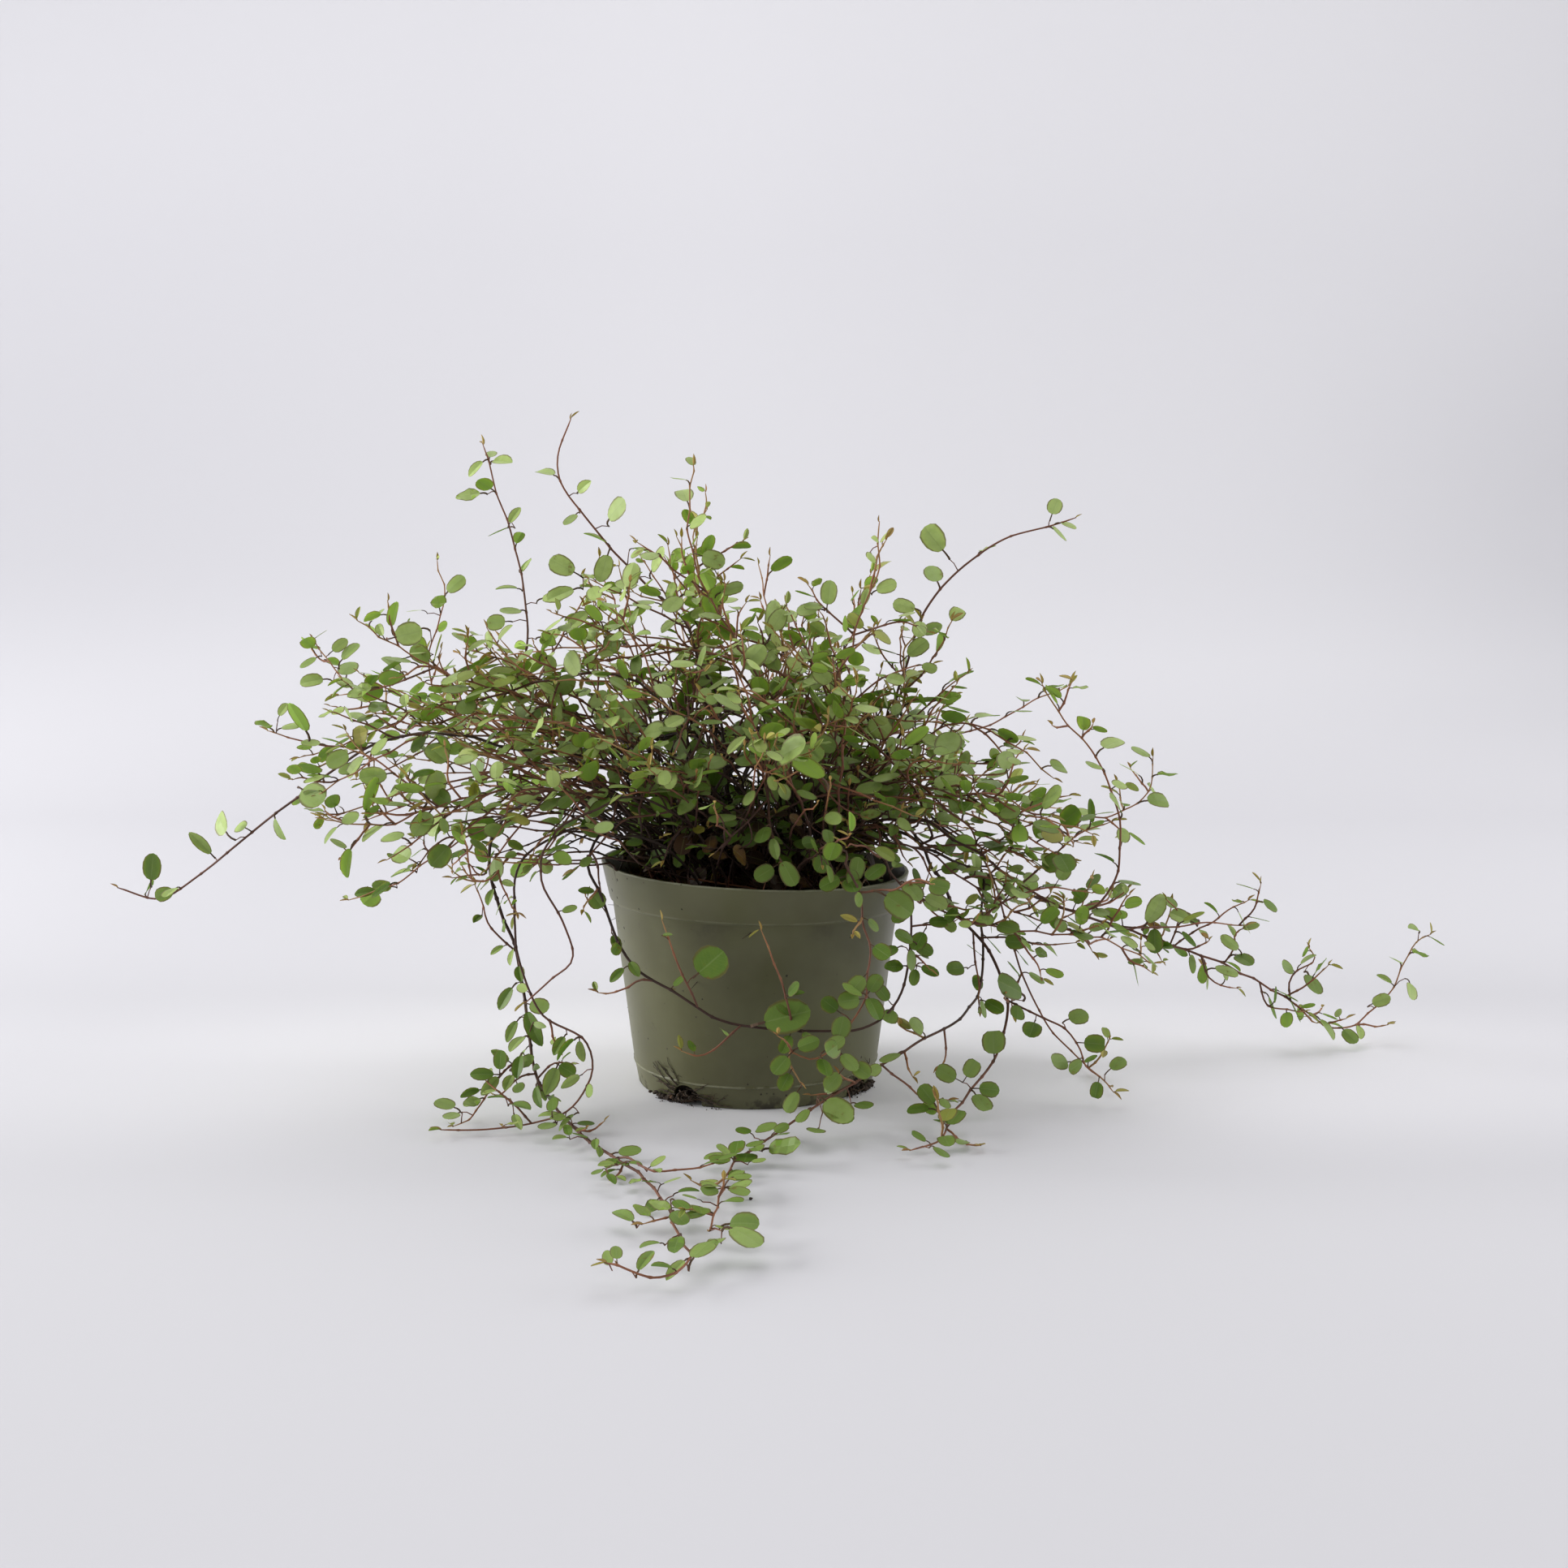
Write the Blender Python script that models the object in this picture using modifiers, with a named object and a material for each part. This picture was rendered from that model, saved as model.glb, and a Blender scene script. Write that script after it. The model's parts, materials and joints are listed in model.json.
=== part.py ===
"""A maidenhair vine growing in a small plastic nursery pot.

Metres, +Z up, the long spread of the plant along X. The origin is the centre of the pot's
base, on the surface it stands on. The pot, the peat, two tufts of peat and fine root at the
drainage notches and every shoot are solids of their own. A shoot is one solid: it is a stem
with the leaves that grew on it, and its foot stands in a socket in the peat.
"""
import math
import random

import bmesh
import bpy
from mathutils import Matrix, Vector
from mathutils.bvhtree import BVHTree

MM = 0.001

# Nursery pot, 120 mm across the rim.
POT_HEIGHT = 85.4 * MM
RIM_RADIUS = 60.0 * MM
BAND_BOTTOM = 71.7 * MM
BAND_BOTTOM_RADIUS = 56.8 * MM
BAND_STEP = 0.8 * MM
RING_HEIGHT = 8.7 * MM
RING_RADIUS = 47.9 * MM
BASE_RADIUS = 46.2 * MM
WALL = 1.6 * MM
FLOOR_TOP = 3.6 * MM
FLOOR_UNDERSIDE = 2.2 * MM
PAD_RADIUS = 15.0 * MM
EDGE = 0.5 * MM
RIM_LEAN = math.radians(2.4)
POT_STEPS = 40
SEAM_MERGE = 0.05 * MM

# Drainage notches: four arches where the wall meets the base.
NOTCH_COUNT = 4
FIRST_NOTCH = math.radians(-123)
NOTCH_RADIUS = 6.5 * MM
NOTCH_CENTRE_HEIGHT = 1.0 * MM
NOTCH_REACH = (40 * MM, 52 * MM)
NOTCH_SIDES = 16

# Tufts of peat and root at two notches.
TUFT_OUT = 2.3 * MM
TUFT_HEIGHT = 3.2 * MM
TUFT_HALF_SIZES = (2.1 * MM, 4.4 * MM, 2.5 * MM)
ROOT_WIDTH = 0.55 * MM
ROOT_STAND_OFF = 1.4 * MM
ROOT_START_OUT = 2.0 * MM

# Peat.
PEAT_GAP = 0.6 * MM
PEAT_EDGE_TOP = 70.0 * MM
PEAT_CENTRE_TOP = 74.0 * MM
FOOT_DEPTH = 12.0 * MM
FOOT_RISE = 3.0 * MM
SOCKET_GAP = 0.6 * MM
SOCKET_RISE = 4.0 * MM
SOCKET_SIDES = 6
MOUND_SHARES = (0, 0.35, 0.7, 1)

# Shoots.
FIRST_RING_ABOVE_PEAT = 2.0 * MM
NODE_HALF_LENGTH = 0.9 * MM
LONGEST_STRAIGHT = 20.0 * MM
TIP_RADIUS = 0.4 * MM
RING_MERGE = 0.02 * MM

# Leaves: three sizes in millimetres, then how they are placed.
LEAF_LENGTHS = (9, 12)
LEAF_WIDTHS = (7, 9)
PETIOLE_LENGTHS = (3.5, 5.5)
PETIOLE_WIDTH = 0.8 * MM
LEAF_THICKNESS = 0.6 * MM
LEAF_CLEARANCE = 0.5 * MM
CLEAR_OF_STEM = 1.6 * MM
LOWEST_LEAF = 0.5 * MM
FIRST_LEAF_ABOVE_PEAT = 22.0 * MM
LAST_LEAF_TO_TIP = 3.0 * MM
LEAF_TRIES = 24
FULL_SIZE_TRIES = 16
SMALLER_LEAF = 0.75
TURN_BETWEEN_TRIES = 2.4
# Along the blade from petiole to tip: share of its length, share of its width.
BLADE_STATIONS = ((0.28, 0.85), (0.68, 1.0), (1.0, 0.38))

# Each shoot: stem radius at the peat, number of leaves, then the route in millimetres from
# where it leaves the peat (x, y) to its tip (x, y, z).
SHOOTS = {
    # Upright shoots of the crown.
    "tall_shoot_left": (0.8, 6, (-12, 6), [
        (-30, 8, 108), (-60, 15, 130), (-90, 25, 150), (-92, 32, 178), (-97, 38, 206),
        (-105, 42, 230), (-111, 45, 250)]),
    "tallest_shoot": (0.9, 7, (-4, 0), [
        (-10, 0, 110), (-15, 5, 148), (-27, 8, 176), (-57, 12, 209), (-75, 15, 232),
        (-77, 16, 243), (-72, 18, 258)]),
    "tall_shoot_middle": (0.8, 6, (8, -8), [
        (16, -10, 107), (12, -15, 137), (-3, -20, 168), (-18, -22, 192), (-24, -24, 212),
        (-22, -28, 238)]),
    "red_shoot": (0.7, 5, (-5, 16), [
        (-10, 20, 108), (-22, 34, 158), (-24, 40, 195), (-26, 42, 212), (-20, 44, 224)]),
    "tall_shoot_right": (0.7, 5, (14, -16), [
        (22, -20, 108), (32, -25, 145), (36, -29, 175), (45, -32, 197), (46, -34, 217)]),
    "right_arching_shoot": (0.9, 6, (18, 4), [
        (32, 5, 105), (54, 10, 127), (57, 12, 150), (66, 17, 182), (90, 20, 207),
        (127, 24, 220)]),
    "crown_shoot_back_left": (0.7, 5, (-14, 18), [
        (-25, 32, 110), (-45, 46, 150), (-60, 56, 185), (-66, 62, 205)]),
    "crown_shoot_back": (0.7, 5, (2, 22), [
        (4, 36, 110), (8, 55, 150), (5, 70, 182), (0, 80, 202)]),
    "crown_shoot_back_right": (0.7, 5, (12, 17), [
        (20, 30, 110), (32, 46, 150), (42, 60, 180), (48, 70, 198)]),
    "crown_shoot_front_left": (0.7, 5, (-11, -9), [
        (-18, -16, 108), (-30, -24, 145), (-45, -30, 173), (-54, -36, 188)]),
    "crown_shoot_front": (0.7, 5, (2, -20), [
        (6, -32, 108), (3, -45, 136), (-4, -52, 158), (-8, -58, 174)]),
    # Shoots to the left.
    "left_long_shoot": (0.9, 8, (-22, -2), [
        (-36, -6, 112), (-62, -11, 127), (-93, -10, 133), (-125, -5, 137), (-150, -1, 131),
        (-178, 5, 112), (-196, 8, 99), (-220, 11, 80), (-238, 13, 69), (-256, 15, 73)]),
    "left_back_shoot": (0.8, 6, (-18, 12), [
        (-34, 27, 104), (-78, 45, 123), (-126, 60, 132), (-153, 70, 136), (-176, 78, 150),
        (-194, 88, 170)]),
    "left_rising_shoot": (0.7, 6, (-16, -2), [
        (-26, -2, 114), (-50, -6, 136), (-80, -16, 149), (-123, -30, 166),
        (-145, -36, 181)]),
    "left_tall_back_shoot": (0.8, 6, (-10, 28), [
        (-30, 42, 103), (-80, 66, 128), (-122, 80, 134), (-142, 90, 146), (-144, 95, 164),
        (-138, 98, 186), (-141, 100, 204)]),
    "left_front_shoot": (0.8, 6, (-20, -15), [
        (-34, -30, 108), (-60, -45, 120), (-85, -54, 120), (-112, -62, 116),
        (-130, -67, 110), (-150, -70, 112)]),
    "left_drooping_shoot": (0.7, 6, (-28, 6), [
        (-36, 12, 98), (-62, 16, 107), (-95, 18, 101), (-125, 20, 88), (-145, 22, 74),
        (-166, 25, 66)]),
    "left_hanging_shoot": (1.0, 11, (-30, -8), [
        (-38, -12, 98), (-60, -21, 113), (-84, -26, 113), (-99, -22, 100), (-100, -22, 82),
        (-91, -25, 57), (-86, -32, 33), (-82, -46, 17), (-73, -62, 8), (-62, -80, 3),
        (-50, -102, 2.5), (-36, -126, 2.5), (-25, -158, 3), (-19, -190, 4),
        (-15, -212, 7), (-24, -223, 7), (-38, -219, 9)]),
    "left_hanging_short_shoot": (0.7, 5, (-14, -26), [
        (-22, -38, 106), (-50, -58, 118), (-70, -68, 108), (-75, -70, 92), (-67, -71, 76),
        (-64, -70, 62), (-72, -68, 54), (-81, -68, 46)]),
    "left_looping_shoot": (0.7, 7, (-26, -20), [
        (-40, -34, 100), (-68, -50, 104), (-84, -55, 92), (-86, -56, 70), (-77, -60, 40),
        (-60, -67, 32), (-57, -70, 21), (-64, -77, 10), (-78, -72, 3), (-94, -78, 2.5),
        (-110, -80, 3)]),
    "front_loop_shoot": (0.8, 9, (-18, -27), [
        (-32, -40, 98), (-50, -47, 104), (-60, -50, 96), (-54, -56, 79), (-43, -62, 59),
        (-23, -70, 47), (-5, -73, 39), (16, -75, 38), (38, -71, 37), (52, -62, 46),
        (57, -57, 65), (57, -54, 84)]),
    # Shoots to the right.
    "front_right_hanging_shoot": (0.7, 6, (13, -28), [
        (23, -42, 100), (33, -60, 99), (39, -69, 82), (41, -76, 62), (38, -82, 48),
        (30, -84, 36), (21, -85, 30), (13, -86, 32), (17, -87, 22)]),
    "right_hanging_shoot": (1.0, 8, (27, -5), [
        (36, -7, 97), (56, -10, 100), (69, -12, 86), (78, -12, 68), (90, -18, 54),
        (96, -28, 36), (91, -40, 20), (82, -50, 11), (71, -68, 4), (65, -92, 2.5),
        (54, -103, 3)]),
    "right_to_front_shoot": (0.8, 9, (27, 20), [
        (40, 26, 98), (65, 26, 101), (87, 19, 86), (90, 8, 58), (88, -8, 38),
        (75, -35, 30), (58, -52, 26), (44, -64, 20), (22, -79, 11), (7, -92, 4),
        (-5, -112, 2.5), (-9, -150, 3), (-11, -184, 5)]),
    "right_long_shoot": (0.9, 9, (26, 8), [
        (38, 11, 95), (52, 13, 98), (71, 12, 90), (101, 15, 74), (134, 20, 60),
        (170, 28, 47), (197, 32, 36), (224, 36, 20), (241, 40, 9), (252, 47, 9),
        (270, 55, 22), (281, 62, 40), (289, 64, 44)]),
    "right_thin_shoot": (0.6, 6, (21, -22), [
        (32, -36, 97), (45, -48, 96), (60, -49, 80), (81, -48, 71), (104, -46, 67),
        (129, -45, 64), (149, -40, 54)]),
    "right_curling_shoot": (0.6, 5, (21, -14), [
        (30, -22, 100), (55, -28, 97), (78, -28, 83), (92, -26, 75), (110, -25, 67),
        (122, -25, 71), (128, -25, 84)]),
    "right_turning_up_shoot": (0.8, 8, (27, -14), [
        (40, -18, 104), (70, -30, 102), (100, -35, 84), (121, -37, 73), (133, -36, 82),
        (136, -35, 104), (127, -35, 130), (114, -35, 145), (106, -35, 158)]),
    "right_back_shoot": (0.8, 6, (20, 26), [
        (34, 34, 100), (60, 44, 108), (90, 54, 106), (127, 65, 95), (155, 74, 95),
        (170, 80, 105), (172, 84, 119)]),
    "right_rising_shoot": (0.7, 5, (18, 12), [
        (32, 20, 108), (66, 35, 127), (100, 48, 138), (131, 60, 151)]),
    "right_high_shoot": (0.7, 5, (22, -4), [
        (33, -3, 110), (59, -10, 132), (82, -18, 142), (98, -25, 134), (112, -30, 122)]),
    "right_low_shoot": (0.7, 5, (21, -9), [
        (36, -15, 114), (67, -33, 119), (93, -46, 114), (122, -56, 105)]),
    "right_floor_shoot": (0.7, 7, (25, 30), [
        (38, 38, 98), (60, 42, 101), (85, 42, 90), (98, 40, 70), (109, 30, 35),
        (118, 24, 16), (127, 16, 6), (132, 4, 3), (136, -26, 3)]),
    # Shoots to the back.
    "back_hanging_shoot": (0.9, 9, (-5, 33), [
        (-8, 48, 98), (-12, 70, 100), (-15, 82, 82), (-12, 88, 55), (-8, 95, 28),
        (-4, 112, 8), (2, 136, 3), (8, 162, 4)]),
    "back_right_shoot": (0.7, 6, (7, 30), [
        (14, 46, 104), (26, 75, 115), (40, 105, 109), (52, 132, 92), (58, 152, 82)]),
    "back_left_shoot": (0.7, 6, (-20, 24), [
        (-32, 40, 112), (-55, 70, 122), (-80, 100, 114), (-100, 126, 100),
        (-112, 146, 93)]),
    "back_far_right_shoot": (0.7, 6, (15, 32), [
        (30, 48, 106), (60, 72, 116), (92, 96, 108), (120, 116, 96), (138, 128, 90)]),
    "back_rising_shoot": (0.7, 5, (0, 28), [
        (0, 52, 122), (3, 82, 146), (7, 106, 158)]),
    "back_left_rising_shoot": (0.7, 5, (-12, 24), [
        (-28, 52, 124), (-50, 82, 146), (-67, 104, 154)]),
    "back_right_rising_shoot": (0.7, 5, (9, 24), [
        (24, 54, 124), (44, 82, 142), (60, 100, 149)]),
}

# Each material: colour, roughness.
POT_PLASTIC = ((0.20, 0.23, 0.13, 1), 0.62)
PEAT = ((0.030, 0.019, 0.013, 1), 0.95)
ROOTS = ((0.075, 0.045, 0.025, 1), 0.9)
SHOOT = ((0.13, 0.24, 0.045, 1), 0.5)

# Edges sharper than this many degrees stay hard.
POT_HARD_EDGE = 25
PEAT_HARD_EDGE = 35
SHOOT_HARD_EDGE = 50


def clear_scene():
    for old in list(bpy.data.objects):
        bpy.data.objects.remove(old, do_unlink=True)


def make_collection(name):
    collection = bpy.data.collections.new(name)
    bpy.context.scene.collection.children.link(collection)
    return collection


def make_material(name, colour, roughness):
    material = bpy.data.materials.new(name)
    material.use_nodes = True
    shader = material.node_tree.nodes["Principled BSDF"]
    shader.inputs["Base Color"].default_value = colour
    shader.inputs["Roughness"].default_value = roughness
    shader.inputs["Metallic"].default_value = 0.0
    return material


def add_object(name, data, collection, material=None):
    obj = bpy.data.objects.new(name, data)
    collection.objects.link(obj)
    if material:
        data.materials.clear()
        data.materials.append(material)
    return obj


def shade_smooth(mesh, angle):
    mesh.shade_smooth()
    mesh.set_sharp_from_angle(angle=math.radians(angle))


def evaluated_mesh(obj):
    """The object's mesh with its modifiers, or its curve's tube, as a new mesh."""
    graph = bpy.context.evaluated_depsgraph_get()
    graph.update()
    return bpy.data.meshes.new_from_object(obj.evaluated_get(graph))


def mesh_from_bmesh(name, bm):
    mesh = bpy.data.meshes.new(name)
    bm.to_mesh(mesh)
    bm.free()
    return mesh


def turned_mesh(name, profile, collection):
    """Turn a profile of (radius, height) once around Z with a Screw modifier."""
    bm = bmesh.new()
    points = [bm.verts.new((radius, 0, height)) for radius, height in profile]
    for start, end in zip(points, points[1:]):
        bm.edges.new((start, end))
    outline = add_object(name + "_profile", mesh_from_bmesh(name, bm), collection)
    screw = outline.modifiers.new("turn", "SCREW")
    screw.steps = POT_STEPS
    screw.render_steps = POT_STEPS
    screw.use_merge_vertices = True
    screw.merge_threshold = SEAM_MERGE
    mesh = evaluated_mesh(outline)
    bpy.data.objects.remove(outline, do_unlink=True)
    return mesh


def subtract(obj, cutter):
    cutter.hide_render = True
    cutter.display_type = "WIRE"
    cut = obj.modifiers.new("cut_" + cutter.name, "BOOLEAN")
    cut.operation = "DIFFERENCE"
    cut.object = cutter


# Pot

def outer_radius(height):
    """Radius of the pot's outer wall at a height below the rim band."""
    if height < RING_HEIGHT:
        return BASE_RADIUS + (RING_RADIUS - BASE_RADIUS) * height / RING_HEIGHT
    top_radius = BAND_BOTTOM_RADIUS - BAND_STEP
    share = (height - RING_HEIGHT) / (BAND_BOTTOM - RING_HEIGHT)
    return RING_RADIUS + (top_radius - RING_RADIUS) * share


def pot_profile():
    """The wall's section: up the inside, over the rim, down the outside, under the base."""
    step_top = BAND_BOTTOM + BAND_STEP
    inside = [
        (0, FLOOR_TOP),
        (outer_radius(FLOOR_TOP) - WALL - EDGE, FLOOR_TOP),
        (outer_radius(FLOOR_TOP + EDGE) - WALL, FLOOR_TOP + EDGE),
        (outer_radius(BAND_BOTTOM) - WALL, BAND_BOTTOM),
        (BAND_BOTTOM_RADIUS - WALL, step_top),
        (RIM_RADIUS - WALL, POT_HEIGHT - EDGE),
        (RIM_RADIUS - WALL + EDGE, POT_HEIGHT),
    ]
    outside = [
        (RIM_RADIUS - EDGE, POT_HEIGHT),
        (RIM_RADIUS, POT_HEIGHT - EDGE),
        (BAND_BOTTOM_RADIUS + EDGE / 2, BAND_BOTTOM + EDGE),
        (BAND_BOTTOM_RADIUS - EDGE / 2, BAND_BOTTOM),
        (outer_radius(BAND_BOTTOM), BAND_BOTTOM - EDGE),
        (RING_RADIUS, RING_HEIGHT),
        (outer_radius(EDGE), EDGE),
    ]
    underside = [
        (BASE_RADIUS - EDGE, 0),
        (BASE_RADIUS - WALL, 0),
        (BASE_RADIUS - WALL - EDGE, FLOOR_UNDERSIDE),
        (PAD_RADIUS + EDGE, FLOOR_UNDERSIDE),
        (PAD_RADIUS, 0),
        (0, 0),
    ]
    return inside + outside + underside


def lean_rim(mesh):
    """The soft pot's rim stands a little higher on the left; the base stays flat."""
    for vertex in mesh.vertices:
        height_share = vertex.co.z / POT_HEIGHT
        vertex.co.z -= vertex.co.x * math.tan(RIM_LEAN) * height_share ** 3


def notch_angle(index):
    return FIRST_NOTCH + index * 2 * math.pi / NOTCH_COUNT


def notch_cutter(collection):
    """One lying cylinder for each notch, reaching through the wall and the floor's edge."""
    bm = bmesh.new()
    length = NOTCH_REACH[1] - NOTCH_REACH[0]
    middle = (NOTCH_REACH[0] + NOTCH_REACH[1]) / 2
    for index in range(NOTCH_COUNT):
        place = (Matrix.Rotation(notch_angle(index), 4, "Z")
                 @ Matrix.Translation((middle, 0, NOTCH_CENTRE_HEIGHT))
                 @ Matrix.Rotation(math.pi / 2, 4, "Y"))
        bmesh.ops.create_cone(bm, cap_ends=True, segments=NOTCH_SIDES, radius1=NOTCH_RADIUS,
                              radius2=NOTCH_RADIUS, depth=length, matrix=place)
    return add_object("notch_cutter", mesh_from_bmesh("notch_cutter", bm), collection)


def build_pot(parts, cutters):
    mesh = turned_mesh("pot", pot_profile(), parts)
    lean_rim(mesh)
    shade_smooth(mesh, POT_HARD_EDGE)
    material = make_material("pot_plastic", *POT_PLASTIC)
    pot = add_object("pot", mesh, parts, material)
    subtract(pot, notch_cutter(cutters))
    return pot


# Peat

def peat_top(x, y):
    """Height of the gently mounded peat at a place."""
    share = min(1.0, math.hypot(x, y) / (BAND_BOTTOM_RADIUS - WALL))
    return PEAT_CENTRE_TOP + (PEAT_EDGE_TOP - PEAT_CENTRE_TOP) * share ** 2


def peat_profile():
    """The mounded top from the centre out, down inside the wall, then in to the centre."""
    bottom = FLOOR_TOP + PEAT_GAP
    outer = outer_radius(PEAT_EDGE_TOP) - WALL - PEAT_GAP
    mound = [(outer * share, peat_top(outer * share, 0)) for share in MOUND_SHARES]
    low_corner = outer_radius(bottom) - WALL - PEAT_GAP - EDGE
    return mound + [(low_corner, bottom), (0, bottom)]


def socket_cutter(collection):
    """One upright prism for each shoot's foot."""
    bm = bmesh.new()
    for radius, _, (x, y), _ in SHOOTS.values():
        top = peat_top(x * MM, y * MM)
        low = top - FOOT_DEPTH - SOCKET_GAP
        high = top + SOCKET_RISE
        bmesh.ops.create_cone(
            bm, cap_ends=True, segments=SOCKET_SIDES,
            radius1=radius * MM + SOCKET_GAP, radius2=radius * MM + SOCKET_GAP,
            depth=high - low, matrix=Matrix.Translation((x * MM, y * MM, (low + high) / 2)))
    return add_object("socket_cutter", mesh_from_bmesh("socket_cutter", bm), collection)


def build_peat(parts, cutters):
    mesh = turned_mesh("peat", peat_profile(), parts)
    shade_smooth(mesh, PEAT_HARD_EDGE)
    peat = add_object("peat", mesh, parts, make_material("peat", *PEAT))
    subtract(peat, socket_cutter(cutters))
    return peat


# Extruded growth, shared by leaves and rootlets

def extrude_to(bm, face, centre, side, up, width, thickness):
    """Extrude a four-sided face and set its new corners as a rectangle about a centre."""
    grown = bmesh.ops.extrude_discrete_faces(bm, faces=[face])["faces"][0]
    corners = [centre + side * (width / 2 * sx) + up * (thickness / 2 * sy)
               for sx, sy in ((-1, -1), (1, -1), (1, 1), (-1, 1))]
    verts = list(grown.verts)
    turns = [corners[turn:] + corners[:turn] for turn in range(4)]
    best = min(turns, key=lambda turn: sum((v.co - c).length for v, c in zip(verts, turn)))
    for vertex, corner in zip(verts, best):
        vertex.co = corner
    return grown


def nearest_face(bm, point, sides=4):
    faces = [face for face in bm.faces if len(face.verts) == sides]
    return min(faces, key=lambda face: (face.calc_center_median() - point).length)


# Rootlets and peat at two notches

def wall_point(angle, height, stand_off):
    """A point just outside the pot's wall."""
    radius = outer_radius(height) + stand_off
    return Vector((radius * math.cos(angle), radius * math.sin(angle), height))


def build_root_tuft(name, notch, roots, parts, material):
    """A lump of peat in a notch, with fine roots creeping up the outside of the wall."""
    angle = notch_angle(notch)
    place = (Matrix.Rotation(angle, 4, "Z")
             @ Matrix.Translation((BASE_RADIUS + TUFT_OUT, 0, TUFT_HEIGHT))
             @ Matrix.Diagonal((*TUFT_HALF_SIZES, 1)))
    bm = bmesh.new()
    bmesh.ops.create_uvsphere(bm, u_segments=12, v_segments=8, radius=1, matrix=place)
    outward = Vector((math.cos(angle), math.sin(angle), 0))
    for sideways, heights in roots:
        start = wall_point(angle + sideways[0] / BASE_RADIUS, heights[0], ROOT_START_OUT)
        face = nearest_face(bm, start)
        for along, height in zip(sideways, heights):
            centre = wall_point(angle + along / BASE_RADIUS, height, ROOT_STAND_OFF)
            forward = (centre - face.calc_center_median()).normalized()
            side = outward.cross(forward).normalized()
            face = extrude_to(bm, face, centre, side, forward.cross(side),
                              ROOT_WIDTH, ROOT_WIDTH)
    mesh = mesh_from_bmesh(name, bm)
    shade_smooth(mesh, PEAT_HARD_EDGE)
    return add_object(name, mesh, parts, material)


def build_root_tufts(parts):
    """The left tuft has three long roots, the right one has one short root."""
    material = make_material("roots", *ROOTS)
    left_roots = [
        ((-2 * MM, -6 * MM, -10 * MM, -13 * MM), (8 * MM, 10.5 * MM, 13 * MM, 18 * MM)),
        ((1 * MM, 2.5 * MM, 3 * MM), (8 * MM, 12 * MM, 16 * MM)),
        ((4 * MM, 8 * MM, 12 * MM), (6.5 * MM, 7.5 * MM, 4 * MM)),
    ]
    right_roots = [((1 * MM, 3 * MM, 7 * MM), (8 * MM, 11 * MM, 12 * MM))]
    return [
        build_root_tuft("root_tuft_left", 0, left_roots, parts, material),
        build_root_tuft("root_tuft_right", 1, right_roots, parts, material),
    ]


# Shoots

def smooth_route(points, per_span=8):
    """Centripetal Catmull-Rom curve through the points."""
    first = points[0] * 2 - points[1]
    last = points[-1] * 2 - points[-2]
    padded = [first] + points + [last]
    curve = []
    for p0, p1, p2, p3 in zip(padded, padded[1:], padded[2:], padded[3:]):
        t1 = (p1 - p0).length ** 0.5
        t2 = t1 + (p2 - p1).length ** 0.5
        t3 = t2 + (p3 - p2).length ** 0.5
        for step in range(per_span):
            t = t1 + (t2 - t1) * step / per_span
            a1 = p0.lerp(p1, t / t1)
            a2 = p1.lerp(p2, (t - t1) / (t2 - t1))
            a3 = p2.lerp(p3, (t - t2) / (t3 - t2))
            b1 = a1.lerp(a2, t / t2)
            b2 = a2.lerp(a3, (t - t1) / (t3 - t1))
            curve.append(b1.lerp(b2, (t - t1) / (t2 - t1)))
    return curve + [points[-1]]


def shoot_route(foot, route):
    """From the bottom of the foot in the peat, up out of it, then along the route."""
    x, y = foot[0] * MM, foot[1] * MM
    top = peat_top(x, y)
    start = [Vector((x, y, top - FOOT_DEPTH)), Vector((x, y, top + FOOT_RISE))]
    return smooth_route(start + [Vector(point) * MM for point in route])


class Path:
    """A polyline that gives points and directions by distance along it."""

    def __init__(self, points):
        self.points = points
        self.distances = [0.0]
        for start, end in zip(points, points[1:]):
            self.distances.append(self.distances[-1] + (end - start).length)
        self.length = self.distances[-1]

    def at(self, distance):
        for index in range(1, len(self.points)):
            if self.distances[index] >= distance:
                break
        low, high = self.distances[index - 1], self.distances[index]
        return self.points[index - 1].lerp(self.points[index], (distance - low) / (high - low))

    def direction(self, distance):
        low = max(0.0, distance - MM)
        high = min(self.length, distance + MM)
        return (self.at(high) - self.at(low)).normalized()


def leaf_node_distances(path, leaves):
    """Where the leaves sit: from above the peat to just short of the tip, evenly."""
    first = FOOT_DEPTH + FIRST_LEAF_ABOVE_PEAT
    last = path.length - LAST_LEAF_TO_TIP
    return [first + (last - first) * index / (leaves - 1) for index in range(leaves)]


def ring_distances(path, nodes):
    """A ring each side of every leaf node, and rings between them around the bends."""
    stops = [0.0, FOOT_DEPTH + FIRST_RING_ABOVE_PEAT]
    for node in nodes:
        stops += [node - NODE_HALF_LENGTH, node + NODE_HALF_LENGTH]
    stops.append(path.length)
    rings = []
    for start, end in zip(stops, stops[1:]):
        pieces = max(1, math.ceil((end - start) / LONGEST_STRAIGHT))
        rings += [start + (end - start) * piece / pieces for piece in range(pieces)]
    return rings + [path.length]


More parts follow.
